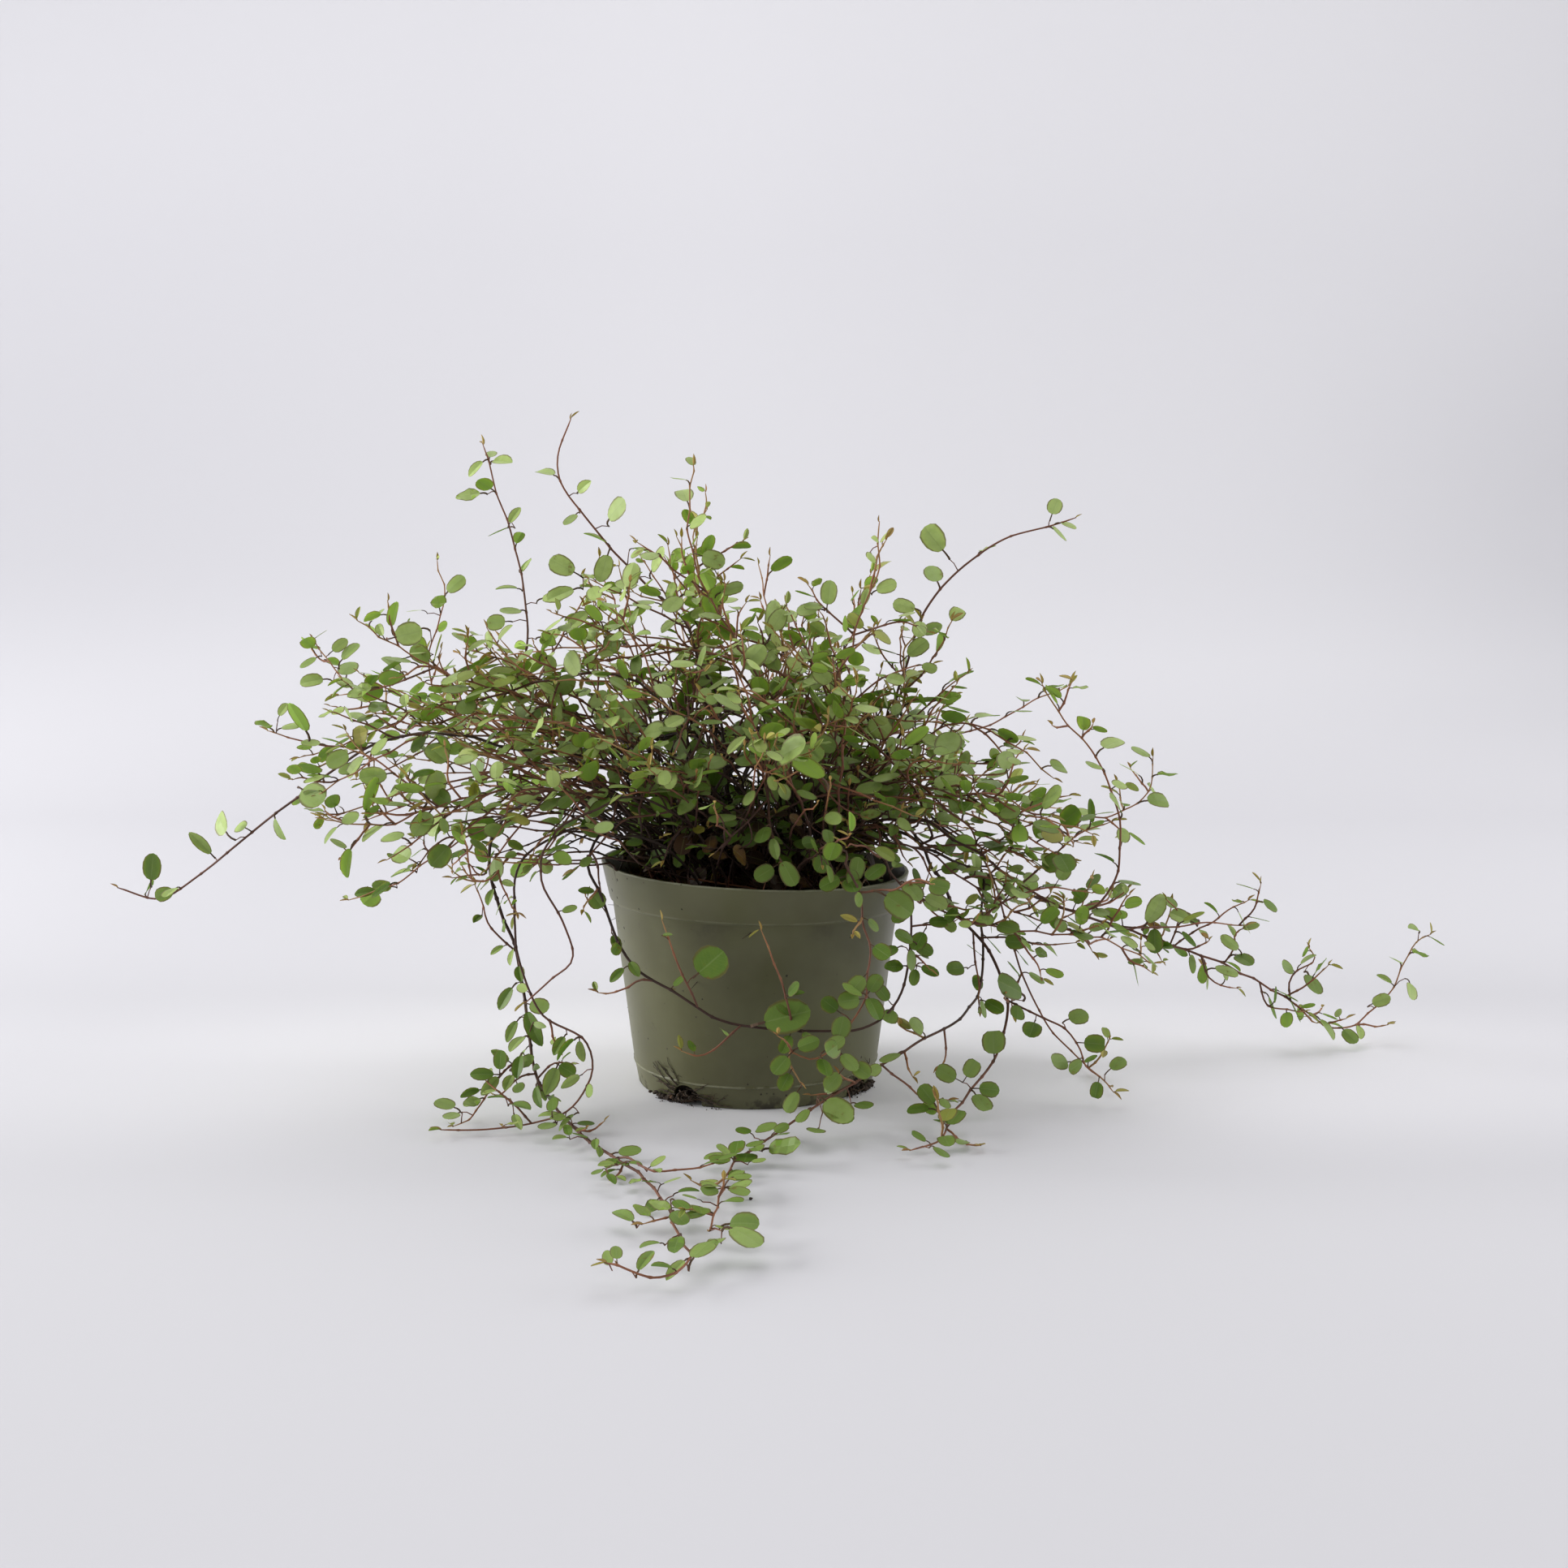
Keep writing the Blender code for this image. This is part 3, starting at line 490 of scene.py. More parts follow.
def crumb_nodes():
    """Strews crumbs and fibres over the upward faces of a surface."""
    tree = Modeller("strewn_peat", Bits="Collection", Crumbs_in_a_square_metre="Float",
                    Smallest="Float", Largest="Float", Lowest="Float", Material="Material")
    given = tree.given
    steep, height = (tree.parts(tree.node(kind).outputs[0])[2] for kind in (
        "GeometryNodeInputNormal", "GeometryNodeInputPosition"))
    points = tree.node("GeometryNodeDistributePointsOnFaces", {
        "Mesh": given["Geometry"], "Density": given["Crumbs in a square metre"],
        "Selection": steep.above(0.4) * height.above(given["Lowest"]), "Seed": 4})
    turn = tree.node("FunctionNodeRandomValue", {
        "Min": (-0.5, -0.5, 0), "Max": (0.5, 0.5, 6.28), "Seed": 1}, data_type="FLOAT_VECTOR")
    size = tree.number("FunctionNodeRandomValue", {2: 0.0, 3: 1.0, "Seed": 2}, 1,
                       data_type="FLOAT")
    smallest, largest = (Number(tree, given[name]) for name in ("Smallest", "Largest"))
    strewn = tree.node("GeometryNodeInstanceOnPoints", {
        "Points": points.outputs["Points"], "Instance": tree.shapes(given["Bits"]),
        "Pick Instance": True, "Rotation": turn.outputs[0],
        "Scale": smallest + (largest - smallest) * size ** 3})
    tinted = tree.node("GeometryNodeStoreNamedAttribute", {
        "Geometry": strewn.outputs[0], "Name": "tint", "Value": size}, domain="INSTANCE")
    real = tree.made_real(tinted.outputs[0], given["Geometry"])
    tree.node("NodeGroupOutput", {0: tree.with_material(real, given["Material"])})
    return tree


def shapes_in(name, meshes):
    """A collection of small shapes for Geometry Nodes to pick from, in the order given."""
    collection = bpy.data.collections.new(name)
    for number, mesh in enumerate(meshes):
        collection.objects.link(bpy.data.objects.new(f"{name}_{number:02d}", mesh))
    return collection


def forget(collection):
    """Remove the small shapes once everything that uses them is made."""
    for shape in list(collection.objects):
        bpy.data.objects.remove(shape, do_unlink=True)
    bpy.data.collections.remove(collection)


def lump_shape(seed, flatness):
    """A rough crumb one unit across."""
    bm = bmesh.new()
    bmesh.ops.create_icosphere(bm, subdivisions=1, radius=0.5)
    for vertex in bm.verts:
        vertex.co *= 1 + 0.5 * noise.noise(vertex.co * 3 + Vector((seed, 0, 0)))
        vertex.co.z *= flatness
    return new_mesh("lump", bm, 60)


def tube_walls(bm, rings):
    """Close the sides of a tube from ring to ring."""
    faces = []
    for ring, after in zip(rings, rings[1:]):
        for side in range(len(ring)):
            ahead = (side + 1) % len(ring)
            faces.append(bm.faces.new((ring[side], ring[ahead], after[ahead], after[side])))
    return faces


def fibre_shape(bend, length):
    """A short three-sided fibre, bent and tapered to both ends."""
    bm = bmesh.new()
    rings = []
    for step in range(4):
        along = step / 3 - 0.5
        middle = Vector((along * length, bend * (0.25 - along ** 2) * length, 0.15))
        girth = 0.10 * (1.2 - abs(along) * 1.6)
        rings.append([bm.verts.new(middle + Vector((0, girth * cos(turn), girth * sin(turn))))
                      for turn in (0.5, 2.6, 4.7)])
    tube_walls(bm, rings)
    bm.faces.new(rings[0])
    bm.faces.new(rings[-1])
    bmesh.ops.recalc_face_normals(bm, faces=bm.faces)
    return new_mesh("fibre", bm, 60)


peat_brown = peat_finish()
peat_bits = shapes_in("peat_bit", [
    lump_shape(0, 0.8), lump_shape(5, 0.6), lump_shape(9, 0.9), fibre_shape(0.5, 5.0),
    lump_shape(14, 0.7), fibre_shape(-0.8, 4.0), lump_shape(19, 0.5), fibre_shape(0.2, 6.5)])
peat_plug = turned(peat_section(), 110)
crumble(peat_plug)
peat = show("peat_fill", new_mesh("peat_fill", peat_plug, 80), peat_brown)
crumb_nodes().run(peat, Bits=peat_bits, Crumbs_in_a_square_metre=260000.0,
                  Smallest=0.5 * MM, Largest=2.6 * MM, Lowest=PEAT_EDGE_TOP - 5 * MM,
                  Material=peat_brown)
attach(peat, "root")
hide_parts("peat")


# ------------------------------
# Roots. Fine brown roots and wet peat have pushed out through two drainage notches and creep up
# the outside of the wall; crumbs of peat have dropped beside them. They grew there, unfixed.
LUMPS = (0, 1, 2, 4, 6)      # the numbers of the lumps among the peat's bits
NOTCH_BITS = 150
SPILLED_BITS = 90
LOOP_STEPS = 8


class Skeleton:
    """Lines of points that become tubes, and single points that become small shapes."""

    def __init__(self):
        self.places = []
        self.edges = []
        self.values = {name: [] for name in (
            "girth", "age", "shape", "size", "breadth", "tint", "youth")}
        self.turns = []

    def add_point(self, place, turn=(0, 0, 0), shape=-1, breadth=1.0, **values):
        self.places.append(place)
        self.turns.append(tuple(turn))
        values.update(shape=shape, breadth=breadth)
        for name, column in self.values.items():
            column.append(values.get(name, 0.0))

    def add_line(self, places, girths, ages):
        first = len(self.places)
        for place, girth, age in zip(places, girths, ages):
            self.add_point(place, girth=girth, age=age)
        self.edges += [(at, at + 1) for at in range(first, len(self.places) - 1)]

    def mesh(self, name):
        mesh = bpy.data.meshes.new(name)
        mesh.from_pydata(self.places, self.edges, [])
        for column, values in self.values.items():
            kind = "INT" if column == "shape" else "FLOAT"
            mesh.attributes.new(column, kind, "POINT").data.foreach_set("value", values)
        turns = mesh.attributes.new("turn", "FLOAT_VECTOR", "POINT")
        turns.data.foreach_set("vector", [part for turn in self.turns for part in turn])
        return mesh


def growth_nodes():
    """Turns a skeleton's lines into tubes and its single points into small shapes."""
    tree = Modeller("grown", Shapes="Collection", Sides="Int", Stem_finish="Material",
                    Shape_finish="Material")
    given = tree.given
    is_shape = tree.named("shape", "INT").above(-0.5)
    lines = tree.node("GeometryNodeMeshToCurve", {"Mesh": given["Geometry"]})
    ring = tree.node("GeometryNodeCurvePrimitiveCircle", {
        "Resolution": given["Sides"], "Radius": 1.0})
    tubes = tree.node("GeometryNodeCurveToMesh", {
        "Curve": lines.outputs[0], "Profile Curve": ring.outputs[0],
        "Scale": tree.named("girth"), "Fill Caps": True})
    turn = tree.node("FunctionNodeEulerToRotation", {0: tree.named("turn", "FLOAT_VECTOR")})
    length = tree.named("size")
    extent = tree.node("ShaderNodeCombineXYZ", {
        "X": length, "Y": length * tree.named("breadth"), "Z": length})
    small_shapes = tree.node("GeometryNodeInstanceOnPoints", {
        "Points": given["Geometry"], "Selection": is_shape,
        "Instance": tree.shapes(given["Shapes"]), "Pick Instance": True,
        "Instance Index": tree.named("shape", "INT"), "Rotation": turn.outputs[0],
        "Scale": extent.outputs[0]})
    real = tree.made_real(small_shapes.outputs[0], tubes.outputs[0])
    stems = tree.with_material(real, given["Stem finish"])
    finished = tree.with_material(stems, given["Shape finish"], Selection=is_shape)
    tree.node("NodeGroupOutput", {0: finished})
    return tree


def drop_spent(mesh):
    """Drop the attributes that no material reads."""
    for name in ("girth", "shape", "size", "breadth", "turn"):
        if name in mesh.attributes:
            mesh.attributes.remove(mesh.attributes[name])


def root_finish():
    """Dark, earthy root bark, with paler fresh stretches."""
    finish = Finish("roots")
    earthy = finish.noise(700, 3, 0.6)
    colour = finish.blend(finish.smooth(earthy, 0.40, 0.66), (0.026, 0.017, 0.011),
                          (0.088, 0.056, 0.034))
    return finish.shaded(base_color=colour, roughness=0.88,
                         normal=finish.bump(earthy, 0.3 * MM, 0.8))


def on_wall(angle, height, stand_off):
    """A point just outside the pot's wall."""
    radius = wall_radius(height) + stand_off
    return Vector((radius * cos(angle), radius * sin(angle), height))


def creep(skeleton, angle, start, end, girth, rng, forks=2):
    """A root that wanders over the wall from start to end, given as (along, height) in mm."""
    steps = 14
    swing = rng.uniform(0, 9)
    places = []
    for step in range(steps + 1):
        share = step / steps
        along = start[0] + (end[0] - start[0]) * share
        height = start[1] + (end[1] - start[1]) * share
        sway = noise.noise(Vector((swing + share * 3.2, swing, 0))) * 2.4 * share
        rise = noise.noise(Vector((swing, share * 3.2, 5))) * 2.0 * share
        lift = 0.35 + 0.5 * max(0.0, noise.noise(Vector((5, swing, share * 4))))
        places.append(on_wall(angle + (along + sway) * MM / BASE_RADIUS,
                              max(0.4, height + rise) * MM, lift * MM))
    girths = [girth * MM * (1 - 0.65 * step / steps) for step in range(steps + 1)]
    skeleton.add_line(places, girths, [0.5] * len(places))
    for _ in range(forks):
        share = rng.uniform(0.25, 0.8)
        middle = [a + (b - a) * share for a, b in zip(start, end)]
        away = [middle[0] + rng.uniform(-5, 5), middle[1] + rng.uniform(-1, 4)]
        creep(skeleton, angle, middle, away, girth * 0.55, rng, forks - 2)


def add_root_loop(skeleton, outward, aside, rng):
    """A short root that bulges out of a notch and goes back in."""
    ends = [outward * (BASE_RADIUS - 1 * MM) + aside * rng.uniform(-4.5, 4.5) * MM
            + UP * rng.uniform(1.0, 5.0) * MM for _ in range(2)]
    bulge = outward * rng.uniform(1.5, 4.5) * MM + UP * rng.uniform(-1, 1.5) * MM
    places = []
    for step in range(LOOP_STEPS + 1):
        share = step / LOOP_STEPS
        place = ends[0].lerp(ends[1], share) + bulge * sin(pi * share)
        place.z = max(0.5 * MM, place.z)
        places.append(place)
    count = len(places)
    skeleton.add_line(places, [rng.uniform(0.18, 0.42) * MM] * count, [0.5] * count)


def add_notch_bit(skeleton, outward, aside, rng):
    """A crumb or fibre of the lump of peat that fills a notch."""
    spread = rng.gauss(-2.4, 1.7)
    place = (outward * (BASE_RADIUS + rng.uniform(-3.0, 1.6) * MM)
             + aside * max(-5.6, min(5.6, spread)) * MM
             + UP * rng.uniform(0.4, 4.6 - abs(spread) * 0.4) * MM)
    size = rng.uniform(0.5, 1.7) * MM
    bit = rng.randrange(8) if place.z > 3.4 * size else rng.choice(LUMPS)
    place.z = max(place.z, 0.55 * size)
    skeleton.add_point(place, [rng.uniform(0, 6) for _ in range(3)], bit, size=size,
                       tint=rng.random())


def add_spilled_bit(skeleton, angle, spill, rng):
    """A crumb on the table by the pot's foot, more often in the heap than strewn about."""
    heaped = rng.random() < 0.7
    along = rng.gauss(spill, 2.6) if heaped else rng.uniform(-14, 16)
    size = (rng.uniform(0.8, 2.4) if heaped else rng.uniform(0.3, 0.8)) * MM
    reach = abs(rng.gauss(0, 0.6 if heaped else 1.6)) * MM
    at = angle + along * MM / BASE_RADIUS
    place = Vector((cos(at), sin(at), 0)) * (BASE_RADIUS + 0.5 * size + reach)
    place.z = size * rng.uniform(0.3, 1.1 if heaped else 0.5)
    skeleton.add_point(place, (0, 0, rng.uniform(0, 6)), rng.choice(LUMPS), size=size,
                       tint=rng.random())


def root_tuft(name, node, angle, roots, loops, spill, seed, strays=()):
    """The lump of rooty peat in a notch, its creeping roots, and the crumbs spilled beside it."""
    rng = random.Random(seed)
    skeleton = Skeleton()
    outward = Vector((cos(angle), sin(angle), 0))
    aside = UP.cross(outward)
    for start, end, girth in roots:
        creep(skeleton, angle, start, end, girth, rng)
    for _ in range(loops):
        add_root_loop(skeleton, outward, aside, rng)
    for _ in range(NOTCH_BITS):
        add_notch_bit(skeleton, outward, aside, rng)
    for _ in range(SPILLED_BITS):
        add_spilled_bit(skeleton, angle, spill, rng)
    for stray in strays:
        skeleton.add_point(Vector(stray) * MM, shape=4, size=1.6 * MM, tint=0.2)
    tuft = show(name, skeleton.mesh(name))
    growth.run(tuft, Shapes=peat_bits, Sides=5, Stem_finish=root_brown,
               Shape_finish=peat_brown)
    drop_spent(tuft.data)
    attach(tuft, "root")
    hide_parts(node)


growth = growth_nodes()
root_brown = root_finish()
root_tuft("left_notch_roots", "root_tuft_left", NOTCHES[0], [
    ((-3, 7), (-12, 14), 0.34), ((-5, 5), (-15, 13), 0.26), ((-5, 4), (-17, 9), 0.30),
    ((-5, 3), (-14, 3), 0.34), ((4, 6), (10, 9), 0.26), ((5, 4), (18, 1.5), 0.36),
    ((5, 3), (12, 1), 0.28), ((-2, 8), (-7, 17), 0.22), ((-4, 6), (-13, 6), 0.30),
    ((3, 5), (14, 4), 0.24)], 22, -11, 3, [(0.6, -143.5, 0.5)])
root_tuft("right_notch_roots", "root_tuft_right", NOTCHES[1], [
    ((1, 7), (7, 12), 0.30), ((-2, 6), (-6, 9), 0.24)], 9, 8, 8)


# ------------------------------
# Leaves. Small, thin and leathery: round to oval blades with a fine dark rim on short wiry
# stalks, paler underneath, yellow-green to bronze near the tips. They grew on the shoots. Their
# greens also carry painted shade deep in the crown and on hanging shoots, painted light high in
# the crown, a painted sheen on the upper sides and painted light shining through the undersides.
BLADE_ROWS = 7
BLADE_THICKNESS = 0.022
UPPER_SIDE, UNDER_SIDE, STALK = 1.0, 0.0, -1.0      # the third part of a corner's "blade"


def leaf_shape(width, widest, stalk, rise, full=2.0, cup=0.0, fold=0.0, droop=0.0, wave=0.0,
               notch=0.0, lean=0.0, pointed=0.0):
    """A leaf whose blade is one unit long, on a curved stalk that starts at the origin.

    +X runs from the stem to the tip and +Z is the upper side. Widest is the place of the
    blade's greatest width, full squares its outline, and notch dents its tip.
    """
    bm = bmesh.new()
    blade = bm.loops.layers.float_vector.new("blade")
    rows = []
    for row in range(BLADE_ROWS + 1):
        along = 0.5 - 0.5 * cos(pi * row / BLADE_ROWS)
        side = widest if along < widest else 1 - widest
        bluntness = 0.5 + (pointed if along > widest else 0.0)
        half = width / 2 * max(0.0, 1 - (abs(along - widest) / side) ** full) ** bluntness
        half *= 1 + 0.10 * noise.noise(Vector((along * 3, width * 40, 0)))
        middle_z = rise + 0.18 * along - droop * along ** 2
        rows.append((along, half, middle_z))

    def rim_point(row, sign):
        along, half, middle_z = row
        ripple = wave * sin(along * 8 + sign)
        height = (cup * half + fold) * half + ripple * half
        return (stalk + along, sign * half + lean * along ** 2, middle_z + height)

    def middle_point(row, drop):
        along, _, middle_z = row
        return (stalk + along, lean * along ** 2, middle_z - drop)

    ends = []
    for row, tuck in ((rows[0], 0.0), (rows[-1], notch)):
        x, y, z = middle_point(row, 0)
        ends.append(bm.verts.new((x - tuck, y, z)))
    inner = rows[1:-1]
    left = [bm.verts.new(rim_point(row, 1)) for row in inner]
    right = [bm.verts.new(rim_point(row, -1)) for row in inner]
    for face_side, drop in ((UPPER_SIDE, 0.0), (UNDER_SIDE, BLADE_THICKNESS)):
        middle = [bm.verts.new(middle_point(row, drop)) for row in inner]
        for sign, rim in ((1, left), (-1, right)):
            ribs = [(vertex, 0, row[0]) for vertex, row in zip(middle, inner)]
            rims = [(vertex, sign, row[0]) for vertex, row in zip(rim, inner)]
            patches = [[(ends[0], 0, 0), ribs[0], rims[0]]]
            patches += [[ribs[at], ribs[at + 1], rims[at + 1], rims[at]]
                        for at in range(len(inner) - 1)]
            patches.append([ribs[-1], (ends[1], 0, 1), rims[-1]])
            for corners in patches:
                if (sign == 1) != (face_side == UPPER_SIDE):
                    corners.reverse()
                face = bm.faces.new([corner[0] for corner in corners])
                for loop, (_, across, along) in zip(face.loops, corners):
                    loop[blade] = (across, along, face_side)
    for edge in bm.edges:
        if all(vertex in left + right + ends for vertex in edge.verts):
            edge.smooth = False

    rings = []
    start, bend = Vector((0, 0, 0)), Vector((0.2 * stalk, 0, rise * 0.9))
    end = Vector((stalk + 0.03, 0, rise - 0.008))
    for step in range(4):
        share = step / 3
        centre = start.lerp(bend, share).lerp(bend.lerp(end, share), share)
        thick = 0.030 - 0.008 * share
        rings.append([bm.verts.new(centre + Vector((-0.5 * (1 - share) * thick * up,
                                                    thick * across, thick * up)))
                      for across, up in ((-1, -1), (1, -1), (1, 1), (-1, 1))])
    stalk_faces = [bm.faces.new(rings[0][::-1]), bm.faces.new(rings[-1])]
    stalk_faces += tube_walls(bm, rings)
    for face in stalk_faces:
        for loop in face.loops:
            loop[blade] = (0, 0, STALK)
    bmesh.ops.recalc_face_normals(bm, faces=stalk_faces)
    return new_mesh("leaf", bm)


# Four round shapes, four oval, two narrow, a leaf that still unfolds, and a bud.
LEAF_SHAPES = {
    "round": leaf_shape(0.88, 0.50, 0.30, 0.20, full=2.1, cup=0.10),
    "cupped": leaf_shape(0.88, 0.46, 0.36, 0.30, full=2.2, cup=0.35, droop=0.12),
    "notched": leaf_shape(0.92, 0.55, 0.33, 0.16, full=2.4, cup=0.15, notch=0.08),
    "domed": leaf_shape(0.80, 0.56, 0.28, 0.24, full=2.3, cup=-0.30, droop=0.15, pointed=0.12),
    "oval": leaf_shape(0.66, 0.52, 0.28, 0.18, full=2.3, cup=0.15, pointed=0.10),
    "broad": leaf_shape(0.73, 0.58, 0.30, 0.26, full=2.4, cup=-0.2, droop=0.14),
    "wavy": leaf_shape(0.64, 0.54, 0.25, 0.16, full=2.3, cup=0.3, wave=0.22, lean=0.08,
                       pointed=0.15),
    "hollow": leaf_shape(0.72, 0.60, 0.32, 0.24, full=2.2, cup=0.6, droop=0.10, lean=-0.06),
    "folded": leaf_shape(0.48, 0.50, 0.21, 0.16, full=2.1, fold=0.35, droop=0.16, pointed=0.2),
    "long": leaf_shape(0.42, 0.52, 0.20, 0.12, full=2.3, fold=0.18, droop=0.22, lean=0.10,
                       pointed=0.2),
    "young": leaf_shape(0.40, 0.46, 0.12, 0.08, full=1.9, fold=0.6, pointed=0.3),
    "bud": leaf_shape(0.34, 0.36, 0.04, 0.02, full=1.6, fold=0.9, pointed=0.4),
}
SHAPE_NUMBERS = {name: number for number, name in enumerate(LEAF_SHAPES)}
leaf_shapes = shapes_in("leaf_shape", LEAF_SHAPES.values())


def leaf_finish():
    """Leaf green by side, age, chance, painted shade and painted light, with a rim, a midrib, fine
    veins and a few blotches.
    """
    finish = Finish("leaf")
    across, along, side = finish.parts(finish.attribute("blade", "Vector"))
    tint = finish.attribute("tint")
    youth = finish.attribute("youth")
    mottle = finish.noise(260, 4, 0.6)
    upper = finish.smooth(side, 0.4, 0.6)
    stalk = finish.smooth(side, -0.4, -0.6)

    # The upper side runs with tint from dark green to a pale grey-green; that pale end is a painted
    # sheen.
    green = finish.blend(tint, (0.078, 0.150, 0.013), (0.390, 0.500, 0.160))
    green = finish.blend(finish.smooth(mottle, 0.40, 0.70) * 0.25, green,
                         (0.150, 0.225, 0.020))
    # The underside's more saturated green is painted light shining through the leaf.
    under = finish.blend(tint, (0.100, 0.200, 0.014), (0.300, 0.460, 0.070))
    face = finish.blend(upper, under, green)
    season = finish.ramp(youth * 0.5 + 0.5 + (mottle - 0.5) * 0.12, [
        (0.0, (0.034, 0.017, 0.010)), (0.10, (0.075, 0.034, 0.014)),
        (0.24, (0.40, 0.22, 0.030)), (0.40, (0.32, 0.31, 0.040)),
        (0.5, (0.18, 0.25, 0.035)), (0.72, (0.31, 0.34, 0.070)),
        (0.88, (0.38, 0.27, 0.070)), (1.0, (0.30, 0.13, 0.050))])
    aged = abs(youth).at_most(1)
    face = finish.blend(finish.smooth(aged, 0.12, 0.75), face, season)

    edge = finish.smooth(abs(across), 0.76, 0.94)
    rib = finish.smooth(abs(across), 0.08, 0.02) * 0.25
    slanted = (along * 9 - abs(across) * 2.4) * pi
    veins = finish.smooth(abs(slanted.maths("SINE")), 0.16, 0.02) * 0.14
    face = finish.blend((rib + veins).at_most(0.4), face, (0.26, 0.33, 0.12))
    face = finish.blend(edge * 0.75, face, (0.080, 0.038, 0.022))
    chance = (tint * 9.7).maths("FRACT")
    blotch = finish.smooth(mottle + chance * 0.12, 0.72, 0.80) * 0.6
    face = finish.blend(blotch, face, (0.17, 0.085, 0.025))
    stalk_colour = finish.blend(youth.at_least(0), (0.085, 0.050, 0.028), (0.21, 0.115, 0.050))
    face = finish.blend(stalk, face, stalk_colour)
    return finish.shaded(base_color=face,
                         roughness=0.46 + (1 - upper) * 0.20 + (mottle - 0.5) * 0.2,
                         specular_ior_level=0.24, subsurface_weight=0.12,
                         subsurface_scale=1 * MM, subsurface_radius=(0.45, 0.60, 0.12),
                         normal=finish.bump(veins * -2 + mottle, 0.12 * MM, 0.5))


# ------------------------------
# Stems. Wiry, round and hair-thin, slightly kinked and swollen at every joint: orange-red when
# young, nearly black when old, and darker deep in the crown as painted shade. Each grows from its
# own foot in the peat, and its side shoots and leaves grow from its joints.
CROWN_MIDDLE = Vector((-10, 12, 92)) * MM
CROWN_REACH_LEFT = Vector((178, 115, 114)) * MM
CROWN_REACH_RIGHT = Vector((128, 115, 94)) * MM
RIM_LEVEL = 84 * MM
FOOT_DEPTH = 12.0 * MM
STEM_TIP = 0.26 * MM
SIDE_TIP = STEM_TIP * 0.85
SIDE_SPACING = 7.5 * MM
TWIG_GIRTH = 0.40 * MM
SPRAY_GIRTH = 0.42 * MM
BRANCH_GIRTH = 0.51 * MM
SKIRT_GIRTH = 0.46 * MM
STEP = 2.5 * MM
BRANCH_STEPS = 10
SWAY_START, SWAY_STEPS = 10, 32     # the points of a stem's route that sway
JOINT_REACH = 0.9 * MM
JOINT_SWELL = 1.45
LONGEST_PIECE = 3.2 * MM
LEAF_CELL = 5 * MM
BLADE_SPOTS = [Vector(spot) for spot in (       # a blade's middle, tip and sides
    (0.8, 0, 0.2), (1.3, 0, 0.2), (0.8, 0.45, 0.2), (0.8, -0.45, 0.2))]


def stem_finish():
    """Wiry bark from orange-red at the tips to nearly black at the foot, and painted darker in the
    crown's shade.
    """
    finish = Finish("stem")
    mottle = finish.noise(350, 3, 0.6)
    fine = finish.noise(2200, 2)
    bark = finish.ramp(finish.attribute("age") + (mottle - 0.5) * 0.35, [
        (0.0, (0.36, 0.21, 0.085)), (0.16, (0.30, 0.125, 0.062)),
        (0.42, (0.185, 0.078, 0.048)), (0.72, (0.070, 0.036, 0.026)),
        (1.0, (0.026, 0.017, 0.013))])
    return finish.shaded(base_color=bark, roughness=0.55 + (fine - 0.5) * 0.3,
                         specular_ior_level=0.25, normal=finish.bump(fine, 0.15 * MM, 0.5))


def smooth_route(points, per_span=8):
    """Centripetal Catmull-Rom curve through the points."""
    first = points[0] * 2 - points[1]
    last = points[-1] * 2 - points[-2]
    padded = [first] + points + [last]
    curve = []
    for p0, p1, p2, p3 in zip(padded, padded[1:], padded[2:], padded[3:]):
        t1 = (p1 - p0).length ** 0.5
        t2 = t1 + (p2 - p1).length ** 0.5
        t3 = t2 + (p3 - p2).length ** 0.5
        for step in range(per_span):
            t = t1 + (t2 - t1) * step / per_span
            a1 = p0.lerp(p1, t / t1)
            a2 = p1.lerp(p2, (t - t1) / (t2 - t1))
            a3 = p2.lerp(p3, (t - t2) / (t3 - t2))
            b1 = a1.lerp(a2, t / t2)
            b2 = a2.lerp(a3, (t - t1) / (t3 - t1))
            curve.append(b1.lerp(b2, (t - t1) / (t2 - t1)))
    return curve + [points[-1]]


class Path:
    """A polyline that gives points and directions by distance along it."""

    def __init__(self, points):
        self.points = points
        self.distances = [0.0]
        for start, end in zip(points, points[1:]):
            self.distances.append(self.distances[-1] + (end - start).length)
        self.length = self.distances[-1]

    def at(self, distance):
        for index in range(1, len(self.points)):
            if self.distances[index] >= distance:
                break
        low, high = self.distances[index - 1], self.distances[index]
        share = (distance - low) / (high - low) if high > low else 0.0
        return self.points[index - 1].lerp(self.points[index], min(1.0, share))

    def direction(self, distance):
        low = max(0.0, distance - MM)
        high = min(self.length, distance + MM)
        return (self.at(high) - self.at(low)).normalized()


def held(value):
    """The value, kept between 0 and 1."""
    return max(0.0, min(1.0, value))


def rim_height(x):
    return POT_HEIGHT - x * tan(RIM_LEAN)


def pot_outside(height):
    """Radius of the pot's outside at any height, its rim band included."""
    if height < BAND_BOTTOM:
        return wall_radius(max(0.0, height))
    share = min(1.0, (height - BAND_BOTTOM) / (POT_HEIGHT - BAND_BOTTOM))
    return BAND_BOTTOM_RADIUS + (RIM_RADIUS - BAND_BOTTOM_RADIUS) * share


def hits(place, margin):
    """Whether a point is in the table, in the pot's wall or in the peat."""
    if place.z < margin:
        return True
    radius = hypot(place.x, place.y)
    if place.z < rim_height(place.x) + margin and radius < pot_outside(place.z) + margin:
        inner = pot_outside(place.z) - WALL - margin
        return radius > inner or place.z < peat_top(place.x, place.y) + margin
    return False


